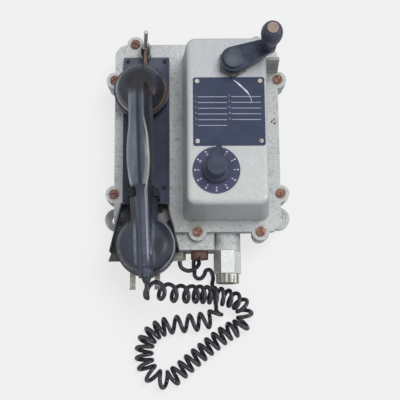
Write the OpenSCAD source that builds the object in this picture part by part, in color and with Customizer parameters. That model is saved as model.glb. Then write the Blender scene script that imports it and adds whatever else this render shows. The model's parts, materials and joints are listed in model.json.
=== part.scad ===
// Wall telephone set with a hand generator, a station selector and a handset.
// Lengths are millimetres. The set lies on its back: +Z leaves its front,
// +Y is its top, and the back face is z = 0. X = 0 is midway between the two
// columns of cover screws, and Y = 0 midway between the upper and lower pairs.

/* [Case] */
// Distance between the left and the right column of cover screws
case_w = 180; // [174:1:188]
// Distance between the top and the bottom row of cover screws
case_l = 212; // [208:1:220]
// Height of the base casting
base_h = 43.5; // [42:0.5:52]
// Thickness of the base walls
base_wall = 5; // [3:0.5:6]
// Thickness of the base floor
base_floor = 5; // [3:0.5:6]
// Corner radius of the base
base_corner_r = 10; // [7:0.5:14]
// Overhang of the rim past the base walls
rim_out = 8; // [7:0.5:9]
// Thickness of the rim of the base
rim_t = 7.5; // [5:0.5:9]
// Thickness of the gasket
gasket_t = 1.5; // [1:0.25:3]
// Thickness of the cover's flange
flange_t = 5; // [4:0.5:7]
// Corner radius of the flange
flange_corner_r = 14; // [10:1:18]
// Radius of the ears round the cover screws
ear_r = 9.5; // [8:0.5:11]
// Radius of the screw bosses below the rim
boss_r = 8.5; // [6:0.5:9.5]
// Height of the screw bosses below the rim
boss_l = 16.5; // [12:0.5:22]
// Distance of the side screws above and below the middle
side_screw_y = 64.4; // [60:0.2:70]
// Distance of the outer top and bottom screws from the middle
end_screw_x = 67.6; // [64:0.2:70]

/* [Wall lugs] */
// Radius of a lug
lug_r = 12.5; // [11:0.5:14]
// Thickness of a lug
lug_t = 8; // [6:0.5:10]
// Radius of the hole in a lug
lug_hole_r = 5; // [3:0.25:6]
// Radius of the spot face round the hole
lug_face_r = 8.5; // [7:0.25:9]
// Distance of the side lug holes outside the cover screws
lug_out = 1; // [0.5:0.5:4]
// Distance of the side lug holes below the middle
lug_y = 84.7; // [82:0.1:87]
// Distance of the top lug hole above the top screws
top_lug_out = 6; // [5:0.5:9]

/* [Cover screws] */
// Radius of the shank
screw_r = 2.5; // [2:0.25:3]
// Radius of the head
head_r = 5; // [4:0.25:6]
// Height of the head
head_h = 3.5; // [2.5:0.25:4.5]
// Length of thread in the base
thread_l = 18; // [12:1:19]
// Width of a screwdriver slot in a cover screw
slot_w = 1.3; // [0.8:0.1:1.8]
// Depth of a screwdriver slot in a cover screw
slot_d = 1.5; // [0.8:0.1:2]
// Clearance round a shank in a plain hole
hole_gap = 0.25; // [0.15:0.05:0.5]
// Clearance round a thread, or a seat, in its hole
fit_gap = 0.05; // [0.03:0.01:0.1]

/* [Small screws] */
// Radius of the shank of the plate and panel screws
small_r = 1.25; // [1:0.05:1.5]
// Radius of their heads
small_head_r = 2.25; // [2:0.05:2.75]
// Height of their heads
small_head_h = 1.4; // [1:0.1:1.6]
// Length of their shanks below what they hold
small_l = 3; // [2:0.25:3.25]

/* [Housing] */
// Width of the housing at the flange
housing_w = 93.1; // [90:0.1:95]
// Length of the housing short of the distance between the screw rows
housing_short = 20.8; // [19:0.2:24]
// Height of the housing's front above the flange
housing_h = 64; // [62:0.5:72]
// Width of the housing at its front
front_w = 82.8; // [82:0.2:86]
// Length that the taper takes off the housing's front
front_short = 14.1; // [9:0.1:14.4]
// Middle of the housing to the right of the case's middle
housing_x = 30.7; // [29:0.1:32]
// Middle of the housing above the case's middle
housing_y = 1; // [0:0.1:2]
// Wall of the housing
housing_wall = 3.5; // [2.5:0.25:4]
// Corner radius of the housing in front view
housing_corner_r = 9.5; // [7:0.5:12]
// Rounding of the housing's front edge
front_edge_r = 6; // [3:0.5:6.5]
// Thickness of the gusset at the upper right
gusset_t = 3.3; // [2:0.1:4]
// Distance of the gusset above the middle
gusset_y = 74.6; // [74:0.1:76]
// Height of the gusset above the flange
gusset_h = 40; // [30:1:48]

/* [Panel] */
// Width of the black panel
panel_w = 50.5; // [50:0.1:52]
// Length of the panel short of the distance between the screw rows
panel_short = 22.7; // [22:0.1:25]
// Thickness of the panel
panel_t = 5; // [4:0.5:6]
// Middle of the panel to the right of the left cover screws
panel_in_x = 34.75; // [34:0.05:35.5]
// Top edge of the panel below the top cover screws
panel_drop = 16.7; // [16:0.1:18]
// Width of the raised edge at the panel's right
edge_w = 2.5; // [1.5:0.25:2.5]
// Height of the raised edge
edge_h = 2; // [1:0.25:2]
// Inset of the panel screws
panel_inset = 5; // [4:0.25:6]
// Distance of the lower panel screws below the middle
panel_low_y = 58; // [50:1:60]

/* [Cradle] */
// Thickness of the cradle's back sheet
cradle_t = 2; // [1:0.25:2.5]
// Thickness of the cradle's side walls
cup_wall = 1.2; // [0.8:0.1:1.4]
// Width of the cradle across its top
cup_top_w = 50; // [49:0.5:52]
// Width of the cradle across its open bottom
cup_low_w = 73.8; // [73:0.2:78]
// Distance of the cradle's top below the middle
cup_top_y = 78; // [77.5:0.25:80]
// Distance of the cradle's bottom below the middle
cup_low_y = 129; // [126:0.5:132]
// Height of the side walls above the back sheet
cup_h = 15; // [10:0.5:16]
// Gap between the two arms that take the handset's neck
arm_gap = 20; // [19:0.25:22]
// Width of an arm
arm_w = 6; // [4:0.5:8]
// Depth of an arm along the handset
arm_l = 8; // [6:0.5:9]
// Height of an arm above the back sheet
arm_h = 41; // [32:1:44]
// Distance of the arms' upper faces below the middle
arm_y = 68; // [67.75:0.05:69]
// Thickness of the plated rest below the cradle
rest_t = 1.2; // [0.8:0.1:1.4]
// Reach of the rest's side tabs below the middle
rest_tab_y = 138; // [134:0.5:142]
// Reach of the rest's prongs below the middle
rest_prong_y = 168; // [160:0.5:170]
// Height of the prongs' turned-up tips
rest_tip_h = 7.5; // [4:0.5:8]

/* [Latch] */
// Distance of the latch pin below the top cover screws
latch_in = 8; // [7.5:0.25:9]
// Height of the latch pin above the flange
latch_pin_h = 12; // [10:0.5:15]
// Radius of the latch pin
latch_pin_r = 1.5; // [1:0.1:2]
// Gap between the bracket's cheeks
cheek_gap = 7; // [6.5:0.25:8]
// Thickness of the bracket
bracket_t = 1.5; // [1:0.25:2]
// Width of the latch arm
latch_w = 4; // [3:0.25:4.5]
// Height of the latch arm above its pin
latch_h = 54; // [40:1:58]
// Lean of the latch arm towards the handset
latch_lean = 3; // [0:0.5:6]
// Radius of the latch arm's eye
latch_eye_r = 5.2; // [4:0.1:5.5]
// Gap between the latch's toe and the earpiece
toe_gap = 0.4; // [0.3:0.1:0.8]

/* [Handset] */
// Distance of the earpiece above the middle
ear_y = 46; // [44:0.5:46.5]
// Distance of the mouthpiece below the middle
mouth_y = 124; // [123:0.5:125]
// Lean of the handset in its cradle
lean = 1.9; // [1.5:0.1:2.2]
// Gap between the mouthpiece and the cradle's back sheet
rest_gap = 0.3; // [0.2:0.1:0.6]
// Radius of the earpiece's cap
ear_cap_r = 29.5; // [28.5:0.1:29.6]
// Radius of the ring behind the earpiece's cap
ear_ring_r = 27.5; // [26:0.25:28.5]
// Radius of the handset's shell at the ear
ear_shell_r = 25.5; // [25:0.25:27]
// Radius of the mouthpiece's cap
mouth_cap_r = 31.5; // [30.5:0.1:31.6]
// Radius of the ring behind the mouthpiece's cap
mouth_ring_r = 30.2; // [29:0.25:30.5]
// Radius of the handset's shell at the mouth
mouth_shell_r = 29; // [28:0.25:30]
// Height of the caps
cap_h = 14.7; // [13:0.1:16]
// Thickness of a cap's face
cap_face = 2.7; // [2:0.1:3.5]
// Height of the rings between the caps and the shell
ring_h = 3; // [2:0.25:4]
// Height of the shell over the rings
shell_h = 22; // [20:0.5:24]
// Wall of the shell and the caps
shell_wall = 3; // [2.5:0.25:3.5]
// Width of the handle
handle_w = 26; // [24:0.5:28]
// Height of the handle's underside over the rings
handle_z = 13; // [11:0.5:14]
// Thickness of the handle
handle_t = 24; // [20:0.5:26]
// Width of the neck between the cradle's arms
neck_w = 17; // [14:0.5:18]
// Gap between the handle's shoulders and the arms
shoulder_gap = 1; // [0.7:0.1:1.5]
// Radius of the nut at the handset's cord
cord_nut_r = 8; // [6:0.25:8.4]
// Length of that nut
cord_nut_l = 7; // [5:0.5:9]
// Length of the rubber boot at the handset's cord
boot_l = 5.5; // [4:0.5:7]

/* [Name plate] */
// Width of the name plate
plate_w = 74; // [70:0.5:76]
// Gap between the name plate and the dial
plate_gap = 1.1; // [0.5:0.1:4]
// Thickness of the name plate
plate_t = 1; // [0.8:0.1:2]
// Middle of the plate from the left edge of the front
plate_in_x = 43.4; // [42.5:0.1:44]
// Top edge of the plate below the top edge of the front
plate_drop = 44.2; // [44:0.1:46]
// Inset of the plate's screws
plate_inset = 4.5; // [4:0.25:6]

/* [Selector] */
// Selector axis from the left edge of the front
dial_in_x = 29.7; // [28.5:0.1:31]
// Selector axis from the bottom edge of the front
dial_in_y = 34.5; // [33:0.1:36]
// Radius of the dial
dial_r = 24.3; // [22:0.1:24.5]
// Thickness of the dial
dial_t = 1.5; // [1:0.1:2.5]
// Radius of the knob's skirt
skirt_r = 14; // [11:0.25:15]
// Height of the knob's skirt
skirt_h = 5.5; // [4:0.25:7]
// Radius of the knob's body
knob_r = 9.4; // [8:0.1:11]
// Height of the knob over the dial
knob_h = 23.5; // [20:0.5:26]
// Reach of the knob's pointer
pointer_l = 24; // [20:0.25:24.2]
// Turn of the knob at rest, clockwise from the top
knob_turn = 7; // [0:1:12]
// Radius of the selector's shaft
selector_r = 4; // [3:0.25:4.5]
// Radius of the selector's bush
selector_bush_r = 6; // [5.5:0.25:7]
// Radius of the switch wafers
wafer_r = 19; // [16:0.5:20]
// Thickness of the switch wafers
wafer_t = 2; // [1.5:0.25:3]
// Distance of the first wafer below the switch plate
wafer_drop = 13; // [12:0.5:15]
// Distance between the two wafers
wafer_step = 12; // [8:0.5:13]
// Radius of the rotor in the wafers
rotor_r = 6.5; // [6:0.25:7.5]

/* [Crank] */
// Crank axis from the right edge of the front
crank_in_x = 34.8; // [34.5:0.1:36]
// Crank axis from the top edge of the front
crank_in_y = 30; // [29.5:0.1:31]
// Width across the flats of the crank's bush
bush_af = 27.2; // [24:0.1:27.6]
// Height of the bush over the front
bush_h = 7; // [5:0.25:9]
// Radius of the bush's thread
bush_r = 9; // [8.25:0.25:10]
// Radius of the crank's shaft
shaft_r = 6; // [5:0.25:7]
// Radius of the hub
hub_r = 10.2; // [9:0.1:11.5]
// Height of the hub
hub_h = 14; // [12:0.5:16]
// Height of the arm over the bottom of the hub
arm_up = 2; // [1.5:0.25:3]
// Thickness of the crank's arm
crank_t = 8; // [6:0.5:9]
// Radius of the arm round the hub
arm_hub_r = 13; // [12:0.25:14]
// Radius of the arm's outer end
arm_end_r = 7.5; // [7:0.25:9]
// Distance from the crank's axis to the grip's axis
throw = 39.8; // [36:0.2:42]
// Direction of the arm at rest, from +X
crank_turn = 22; // [15:1:30]
// Distance from the crank's axis to the screw in the arm
arm_screw_l = 29; // [27:0.5:30]
// Length of the grip
grip_l = 44; // [38:1:48]
// Largest radius of the grip
grip_r = 10.9; // [9:0.1:12]
// Radius of the grip's neck
grip_neck_r = 6; // [5:0.1:7]
// Radius of the grip's pin
pin_r = 3; // [2.5:0.1:3.25]
// Radius of the pin's riveted end
rivet_r = 5.7; // [5:0.1:6]
// Height of the pin's riveted end
rivet_h = 1.2; // [0.8:0.1:2]
// Gap under the grip, under its riveted pin and round the bushes
run_gap = 0.3; // [0.2:0.05:0.5]

/* [Generator] */
// Module of the gears
gear_m = 1; // [0.95:0.01:1.02]
// Thickness of the drive gear
gear_t = 6; // [4:0.5:7]
// Length of the bosses that hold the generator
gen_drop = 19.5; // [18:0.5:21]
// Thickness of the generator's end plates
gen_plate_t = 3; // [2:0.25:4]
// Distance between the generator's end plates
gen_l = 55; // [48:1:56]
// Width of the generator's end plates
gen_w = 57; // [54:0.5:58]
// Depth of the generator's back plate
gen_d = 56; // [54:0.5:58]
// Radius of the generator's pillars
pillar_r = 4; // [3:0.25:5]
// Radius of the armature
armature_r = 14; // [12:0.5:15]
// Radius of the armature's shaft
armature_shaft_r = 2.5; // [2:0.1:2.7]
// Gap between the armature and the magnets
air_gap = 1; // [0.6:0.1:2]
// Height of the magnets
magnet_h = 47; // [40:1:50]

/* [Glands] */
// Height of the cable gland's axis over the back
gland_z = 26; // [25:0.25:27]
// Cable gland to the right of the case's middle
gland_x = 32.3; // [32:0.1:34]
// Radius of the boss of the cable gland
gland_boss_r = 14.5; // [13.5:0.25:15]
// Reach of the entry block below the bottom screws
block_l = 18; // [14:0.5:22]
// Width across the flats of the cable gland
gland_af = 26; // [23:0.5:27]
// Length of the cable gland's body
gland_l = 25; // [20:0.5:28]
// Length of the cable gland's nut
gland_nut_l = 10; // [7:0.5:12]
// Radius of the cable gland's bore
gland_bore_r = 7; // [6:0.25:7.5]
// Radius of the threads in the entry block
gland_thread_r = 10; // [9.5:0.25:11]
// Blanking plug to the right of the case's middle
plug_x = 2; // [1:0.25:4]
// Radius of the blanking plug
plug_r = 9.5; // [8:0.25:10.5]
// Thickness of the blanking plug
plug_t = 8.7; // [6:0.1:10]
// Cord gland to the left of the case's middle
cord_gland_x = 19.5; // [19:0.1:20]
// Height of the cord gland's axis over the back
cord_gland_z = 24; // [23.5:0.1:24.5]
// Radius of the cord gland across its corners
cord_gland_r = 6.5; // [5.5:0.25:7.5]
// Length of the cord gland
cord_gland_l = 9; // [7:0.25:9]

/* [Hook switch] */
// Radius of the plunger
plunger_r = 4; // [3:0.25:4.5]
// Plunger to the left of the case's middle
plunger_x = 58; // [57:0.5:60]
// Plunger above the middle
plunger_y = 52; // [50:0.5:54]
// Travel of the plunger
plunger_travel = 5; // [3:0.25:5]
// Radius of the plunger's collar
collar_r = 7; // [6:0.25:8]
// Thickness of the plunger's collar
collar_t = 2; // [1:0.25:2.5]
// Height of the switch frame's shelf over the floor
shelf_h = 13; // [10:0.5:15]
// Wire radius of the plunger's spring
spring_wire_r = 0.6; // [0.4:0.05:0.7]
// Coil radius of the plunger's spring
spring_r = 4.9; // [4.75:0.05:5.5]
// Turns of the plunger's spring
spring_turns = 6; // [4:1:8]

/* [Sounder and terminals] */
// Radius of the call sounder
howler_r = 24; // [20:0.5:25]
// Height of the call sounder
howler_h = 22; // [18:0.5:26]
// Call sounder to the right of the left cover screws
howler_in_x = 42; // [41:0.5:44]
// Call sounder below the middle
howler_y = 25; // [22:0.5:26]
// Length of the terminal block
block_w = 80; // [72:1:84]
// Depth of the terminal block
block_d = 24; // [20:0.5:26]
// Height of the terminal block
block_h = 15; // [12:0.5:18]
// Terminal block to the right of the case's middle
block_x = 16; // [15:0.5:18]
// Terminal block below the middle
block_y = 50; // [49:0.5:54]
// Radius of a bundle of wires
loom_r = 2.5; // [2:0.25:3]

/* [Cord] */
// Diameter of the handset's cord
cord_d = 4.6; // [4.2:0.1:4.7]

/* [Hidden] */

$fn = 48;
// A little more than a cut needs, so that it leaves no skin
cut = 0.1;
// Sides of the circles inside a hull
hull_fn = 32;

// Heights over the back
cover_z = base_h + gasket_t;
top_z = cover_z + flange_t;
face_z = top_z + housing_h;
face_in = face_z - housing_wall;
panel_z = top_z + panel_t;
cradle_z = panel_z + cradle_t;

// Edges of the case and of the housing's front
half_w = case_w / 2;
half_l = case_l / 2;
housing_l = case_l - housing_short;
front_l = housing_l - front_short;
panel_l = case_l - panel_short;
panel_x = half_w - panel_in_x;
panel_top = half_l - panel_drop;
howler_x = half_w - howler_in_x;
base_out_x = half_w - rim_out;
base_out_y = half_l - rim_out;
front_left = housing_x - front_w / 2;
front_right = housing_x + front_w / 2;
front_top = housing_y + front_l / 2;
front_low = housing_y - front_l / 2;

// Axes on the front
crank_x = front_right - crank_in_x;
crank_y = front_top - crank_in_y;
dial_x = front_left + dial_in_x;
dial_y = front_low + dial_in_y;
plate_x = front_left + plate_in_x;
plate_l = front_l - plate_drop - dial_in_y - dial_r - plate_gap;
plate_y = front_top - plate_drop - plate_l / 2;

// The cover screws: four at the sides, two at the top and three at the bottom
side_spots = [for (sx = [-1, 1], sy = [-1, 1]) [sx * half_w, sy * side_screw_y]];
top_spots = [for (sx = [-1, 1]) [sx * end_screw_x, half_l]];
low_spots = [for (sx = [-1, 0, 1]) [sx * end_screw_x, -half_l]];
case_spots = concat(side_spots, top_spots, low_spots);

// The wall lugs: two low at the sides and one at the top
lug_spots = [[-half_w - lug_out, -lug_y], [half_w + lug_out, -lug_y], [0, half_l + top_lug_out]];
lug_face_d = 1.2;

// Corner spots of a rectangle of spacing a by b round a middle
function corners(x, y, a, b) = [for (sx = [-1, 1], sy = [-1, 1]) [x + sx * a / 2, y + sy * b / 2]];

// The cradle and its screws
cup_x = -panel_x - 0.75;
cup_inset = 8;
cup_spots = [for (sx = [-1, 1]) [cup_x + sx * (cup_top_w / 2 - cup_inset), -cup_top_y - 6]];
rest_spots = [for (sx = [-1, 1]) [cup_x + sx * 25.5, -cup_top_y - 19]];
panel_mid_y = panel_top - panel_l / 2;
panel_side = panel_w / 2 - panel_inset;
panel_spots = concat([for (sx = [-1, 1]) [-panel_x + sx * panel_side, panel_top - panel_inset]],
    [for (sx = [-1, 1]) [-panel_x + sx * (panel_side - 0.5), -panel_low_y]]);
plate_spots = corners(plate_x, plate_y, plate_w - 2 * plate_inset, plate_l - 2 * plate_inset);

// Heights in the handset, and the point about which it leans
cap_z = cradle_z + rest_gap;
ring_z = cap_z + cap_h;
shell_z = ring_z + ring_h;
handle_low = shell_z + handle_z;
handle_top = handle_low + handle_t;
lean_y = -75;
cord_nut_z = shell_z + 8;
cord_nut_y = -mouth_y - mouth_shell_r + 1.5;

// Latch
latch_x = cup_x;
latch_y = half_l - latch_in;
latch_z = top_z + latch_pin_h;
bracket_w = cheek_gap + 2 * bracket_t;

// Heights of the selector
knob_z = face_z + dial_t + 1;
knob_top = face_z + dial_t + knob_h;
switch_boss_l = 8;
switch_plate_t = 2.5;
selector_nut_h = 4.5;
switch_top = face_in - switch_boss_l;
switch_z = switch_top - switch_plate_t;
bush_head_h = 0.7;
wafer_zs = [switch_z - wafer_drop, switch_z - wafer_drop - wafer_step];
selector_low = wafer_zs[1] - 7;

// Heights of the crank
hub_z = face_z + bush_h + 1;
arm_z = hub_z + arm_up;
grip_z = arm_z + crank_t + run_gap;
grip_top = grip_z + grip_l;
bush_nut_h = 5.5;
bush_tail = 7.5;

// Gears: the drive gear turns the pinion below it
gear_teeth = 50;
pinion_teeth = 10;
gear_pitch_r = gear_m * gear_teeth / 2;
pinion_pitch_r = gear_m * pinion_teeth / 2;
gen_x = crank_x;
gen_y = crank_y - gear_pitch_r - pinion_pitch_r;
gen_top = face_in - gen_drop;
gear_z = gen_top + 3;
gen_front = gen_top - gen_plate_t;
gen_back = gen_front - gen_l;
shaft_low = gen_front - 4;
gen_screw_spots = [for (sx = [-1, 1], y = [crank_y + 24.4, gen_y - gen_d / 2 + 4])
    [gen_x + sx * (gen_w / 2 - 4), y]];
pillar_spots = corners(gen_x, gen_y, gen_w - 2 * pillar_r - 0.4, gen_d - 2 * pillar_r);
gen_screw_r = 2;
gen_screw_l = 12;
gen_boss_r = 5;

// The glands point down out of the entry block
block_y_low = -half_l - block_l;
block_left = -34;
block_right = 18;
block_z_low = 8;
block_z_top = base_h - 2.5;
spigot_l = 12;
plug_thread_r = 7;
cord_thread_r = 4;

// Hook switch
shelf_z = base_floor + shelf_h;
collar_z = base_h - 7.5;

// Route of the handset's cord from its boot to its gland. Each row is a point
// of the middle line, the radius of the curls there and their turns to the next
cord_start_turn = 80;
cord_route = [
    [-53, -164.3, 83, 0, 0], [-52.8, -169, 83, 0, 0], [-54.5, -174, 81.5, 0, 0],
    [-53, -176, 77, 3, 0.5], [-44, -170, 68, 8.5, 1], [-32, -171, 56, 8.5, 1],
    [-19, -171.5, 44, 8.5, 1.1], [-6, -171, 34, 8.5, 1.6], [7, -171, 27, 8.5, 1.8],
    [20, -172, 23, 8.5, 1.7], [33, -174.5, 20, 8.3, 1.5], [44.5, -179, 15, 8, 1.1],
    [50.5, -187.5, 12, 7.6, 0.85], [50.5, -198, 11, 7.6, 0.9], [44, -205.5, 11, 8, 1.3],
    [33, -210.5, 11, 8.3, 2.5], [15, -223.5, 11, 8.3, 2.5], [-3, -238, 11, 8.3, 2.4],
    [-20, -252.5, 11, 8.3, 1.4], [-32, -261, 11, 8.5, 1], [-46, -259, 11, 8.5, 1.2],
    [-56, -248, 11, 8.5, 1.6], [-59, -234, 11, 8.5, 1.6], [-56.5, -219.5, 11, 8.5, 1.6],
    [-47, -209, 11, 8.5, 1.6], [-34, -203.5, 11, 8.5, 1.1], [-19, -201.5, 11, 8.5, 1.1],
    [-4, -200, 11, 8.5, 1.1], [9, -197.5, 11, 8.5, 0.8], [19, -192.5, 10.5, 7.5, 0.6],
    [21, -182.5, 4, 1, 0.2], [18, -170, 3, 0.2, 0], [16.5, -158, 4.5, 1.5, 0.35],
    [10, -149.5, 11, 8, 0.5], [0, -148.5, 6, 3, 0.3], [-3.5, -142, 3, 0, 0],
    [-4.5, -133, 5, 0, 0], [-1.5, -129, 11, 0, 0], [1.5, -135.3, 16, 0, 0],
    [-2.5, -141.5, 19.5, 0, 0], [-10, -144.5, 21.5, 0, 0], [-17, -142, 23, 0, 0],
    [-19.5, -137.5, 24, 0, 0], [-19.5, -133.3, 24, 0, 0]];
curl_rings = 8;
cord_sides = 6;
// Length of cord over which two places count as neighbours
near_l = 16;

// Vector of length one
function unit(v) = v / norm(v);
// The part of v that is square to the direction t, at length one
function square_to(v, t) = unit(v - (v * t) * t);
// Point between b and c on the smooth line through a, b, c and d
function smooth(a, b, c, d, u) = 0.5 * (2 * b + (c - a) * u
    + (2 * a - 5 * b + 4 * c - d) * u * u + (3 * b - a - 3 * c + d) * u * u * u);
// Point of a route's row
function spot(row) = [row[0], row[1], row[2]];
// Rings in the span after a row
function span_rings(row) = max(3, round(curl_rings * row[4]));
// Turns of the curls before row i of a route
function turns_before(route, i) = i == 0 ? 0 : turns_before(route, i - 1) + route[i - 1][4];
// Rows of a finer route: middle line, curl radius and angle
function fine_rows(route) = let (last = len(route) - 1) concat(
    [for (i = [0:last - 1])
        let (n = span_rings(route[i]), before = turns_before(route, i))
        for (k = [0:n - 1])
            let (u = k / n)
            concat(smooth(spot(route[max(i - 1, 0)]), spot(route[i]), spot(route[i + 1]),
                spot(route[min(i + 2, last)]), u),
                [route[i][3] + (route[i + 1][3] - route[i][3]) * u,
                360 * (before + route[i][4] * u)])],
    [concat(spot(route[last]), [route[last][3], 360 * turns_before(route, last)])]);
// Directions along a line of points
function directions(p) = [for (i = [0:len(p) - 1])
    unit(p[min(i + 1, len(p) - 1)] - p[max(i - 1, 0)])];
// Side vectors carried along the directions t without twisting
function sides(t, first) = [for (i = 0, n = square_to(first, t[0]); i < len(t);
    i = i + 1, n = i < len(t) ? square_to(n, t[i]) : n) n];
// Points of the strand that curls round a route
function strand(route, start) =
    let (rows = fine_rows(route), c = [for (r = rows) spot(r)])
    let (t = directions(c), n = sides(t, [1, 0, 0]))
    [for (i = [0:len(c) - 1])
        let (a = start + rows[i][4], b = cross(t[i], n[i]))
        c[i] + rows[i][3] * (cos(a) * n[i] + sin(a) * b)];
// Length of the strand up to each of its points
function lengths(p) = [for (i = 0, s = 0; i < len(p);
    s = s + (i < len(p) - 1 ? norm(p[i + 1] - p[i]) : 0), i = i + 1) s];
// Least distance between places of the strand that aren't neighbours
function least_gap(p) = let (s = lengths(p))
    min([for (i = [0:len(p) - 2]) min([for (j = [i:len(p) - 1])
        s[j] - s[i] > near_l ? norm(p[i] - p[j]) : 1000])]);

// One unbroken tube along a line of points
module tube(p, r, count) {
    t = directions(p);
    n = sides(t, [1, 0, 0]);
    last = len(p) - 1;
    points = [for (i = [0:last], k = [0:count - 1])
        let (a = 360 * k / count, b = cross(t[i], n[i]))
        p[i] + r * (cos(a) * n[i] + sin(a) * b)];
    walls = [for (i = [0:last - 1], k = [0:count - 1])
        let (a = i * count + k, b = i * count + (k + 1) % count)
        each [[a, a + count, b + count], [a, b + count, b]]];
    low_end = [for (k = [1:count - 2]) [0, k, k + 1]];
    top_end = [for (k = [1:count - 2]) [last * count, last * count + k + 1, last * count + k]];
    polyhedron(points, concat(walls, low_end, top_end), convexity = 10);
}

// Rounded rectangle round the origin
module round_rect(w, l, r) {
    square([w - 2 * r, l], center = true);
    square([w, l - 2 * r], center = true);
    for (p = corners(0, 0, w - 2 * r, l - 2 * r)) translate(p) circle(r);
}

// Plate with rounded corners, standing on z
module slab(x, y, z, w, l, t, r) {
    translate([x, y, z]) linear_extrude(t) round_rect(w, l, r);
}

// Cylinder along Z from height a to height b
module rod(x, y, a, b, r) {
    translate([x, y, a]) cylinder(r = r, h = b - a);
}

// Cylinder along Y from a down to b
module rod_y(x, z, a, b, r) {
    translate([x, a, z]) rotate([90, 0, 0]) cylinder(r = r, h = a - b);
}

// Hexagonal bar along Z, with corners towards +Y and -Y
module hex_bar(x, y, a, b, af) {
    translate([x, y, a]) rotate([0, 0, 30]) cylinder(r = af / sqrt(3), h = b - a, $fn = 6);
}

// Slotted screw whose head stands on z
module slotted_screw(x, y, z, r, hr, hh, l, sw, sd, turn) {
    translate([x, y, z]) rotate([0, 0, turn]) {
        difference() {
            cylinder(r = hr, h = hh);
            translate([-hr - cut, -sw / 2, hh - sd]) cube([2 * hr + 2 * cut, sw, sd + cut]);
        }
        translate([0, 0, -l]) cylinder(r = r, h = l + cut / 2);
    }
}

// Outline of the flange with its ears
module flange_outline() {
    round_rect(case_w, case_l, flange_corner_r);
    for (p = case_spots) translate(p) circle(ear_r);
}

// Inside outline of the base
module base_inside() {
    round_rect(2 * (base_out_x - base_wall), 2 * (base_out_y - base_wall),
        base_corner_r - base_wall / 2);
}

// Wall lug with a web back to the case
module lug(p) {
    linear_extrude(lug_t) {
        translate(p) circle(lug_r);
        if (p[0] == 0) {
            translate([-lug_r, base_out_y - base_wall / 2])
                square([2 * lug_r, p[1] - base_out_y + base_wall / 2]);
        } else {
            web = abs(p[0]) - base_out_x + base_wall / 2;
            translate([p[0] > 0 ? p[0] - web : p[0], p[1] - lug_r]) square([web, 2 * lug_r]);
        }
    }
}

module base_casting() {
    inner = block_y_low;
    color("#b9bcc0") difference() {
        union() {
            slab(0, 0, 0, 2 * base_out_x, 2 * base_out_y, base_h, base_corner_r);
            translate([0, 0, base_h - rim_t]) linear_extrude(rim_t) flange_outline();
            for (p = case_spots) rod(p[0], p[1], base_h - rim_t - boss_l, base_h - cut, boss_r);
            for (p = lug_spots) lug(p);
            translate([block_left, inner, block_z_low])
                cube([block_right - block_left, -base_out_y - inner + cut, block_z_top - block_z_low]);
            rod_y(gland_x, gland_z, -base_out_y + cut, inner, gland_boss_r);
        }
        translate([0, 0, base_floor]) linear_extrude(base_h) base_inside();
        for (p = case_spots) rod(p[0], p[1], base_h - thread_l - 1, base_h + cut, screw_r + fit_gap);
        for (p = lug_spots) {
            rod(p[0], p[1], -cut, lug_t + cut, lug_hole_r);
            rod(p[0], p[1], lug_t - lug_face_d, lug_t + cut, lug_face_r);
        }
        rod_y(gland_x, gland_z, -base_out_y + base_wall + cut, inner - cut, gland_thread_r + fit_gap);
        rod_y(plug_x, gland_z, inner + spigot_l, inner - cut, plug_thread_r + fit_gap);
        rod_y(-cord_gland_x, cord_gland_z, -base_out_y + base_wall + cut, inner - cut,
            cord_thread_r + fit_gap);
    }
}

module case_gasket() {
    color("#3a3a38") translate([0, 0, base_h]) linear_extrude(gasket_t) difference() {
        flange_outline();
        base_inside();
        for (p = case_spots) translate(p) circle(screw_r + hole_gap);
    }
}

// One level of the housing, drawn in by a distance from its tapered sides
module housing_level(z, inset) {
    share = (z - top_z) / housing_h;
    w = housing_w + (front_w - housing_w) * share - 2 * inset;
    l = housing_l + (front_l - housing_l) * share - 2 * inset;
    slab(housing_x, housing_y, z, w, l, 0.01, max(housing_corner_r - inset, 2), $fn = hull_fn);
}

module housing_shell() {
    difference() {
        hull() {
            housing_level(top_z - flange_t / 2, 0);
            for (a = [0:22.5:90])
                housing_level(face_z - front_edge_r * (1 - sin(a)) - 0.01, front_edge_r * (1 - cos(a)));
        }
        hull() {
            housing_level(cover_z - flange_t, housing_wall);
            housing_level(face_in - 0.01, housing_wall);
        }
    }
}

// Cast web from the housing's right side to the flange's edge
module gusset() {
    translate([0, gusset_y + gusset_t / 2, top_z - flange_t / 2]) rotate([90, 0, 0])
        linear_extrude(gusset_t) polygon([[housing_x, 0], [half_w, 0], [half_w, flange_t / 2],
            [half_w - 1.5, gusset_h + flange_t / 2], [housing_x, gusset_h + flange_t / 2]]);
}

module front_cover() {
    color("#c3c6ca") difference() {
        union() {
            difference() {
                union() {
                    translate([0, 0, cover_z]) linear_extrude(flange_t) flange_outline();
                    gusset();
                }
                hull() {
                    housing_level(cover_z - flange_t, housing_wall);
                    housing_level(face_in - 0.01, housing_wall);
                }
            }
            housing_shell();
            for (p = gen_screw_spots) rod(p[0], p[1], gen_top, face_in + 1, gen_boss_r);
            rod(dial_x, dial_y, switch_top, face_in + 1, selector_bush_r + 5);
        }
        for (p = case_spots) rod(p[0], p[1], cover_z - cut, top_z + cut, screw_r + hole_gap);
        for (p = gen_screw_spots) rod(p[0], p[1], gen_top - cut, gen_top + gen_screw_l + 1, gen_screw_r + fit_gap);
        for (p = plate_spots) rod(p[0], p[1], face_z - small_l, face_z + cut, small_r + fit_gap);
        for (p = concat(panel_spots, cup_spots, rest_spots))
            rod(p[0], p[1], top_z - small_l, top_z + cut, small_r + fit_gap);
        rod(crank_x, crank_y, face_in - cut, face_z + cut, bush_r + fit_gap);
        rod(dial_x, dial_y, switch_top - cut, face_z + cut, selector_bush_r + fit_gap);
        rod(-plunger_x, plunger_y, cover_z - cut, top_z + cut, plunger_r + 1);
    }
}

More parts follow.
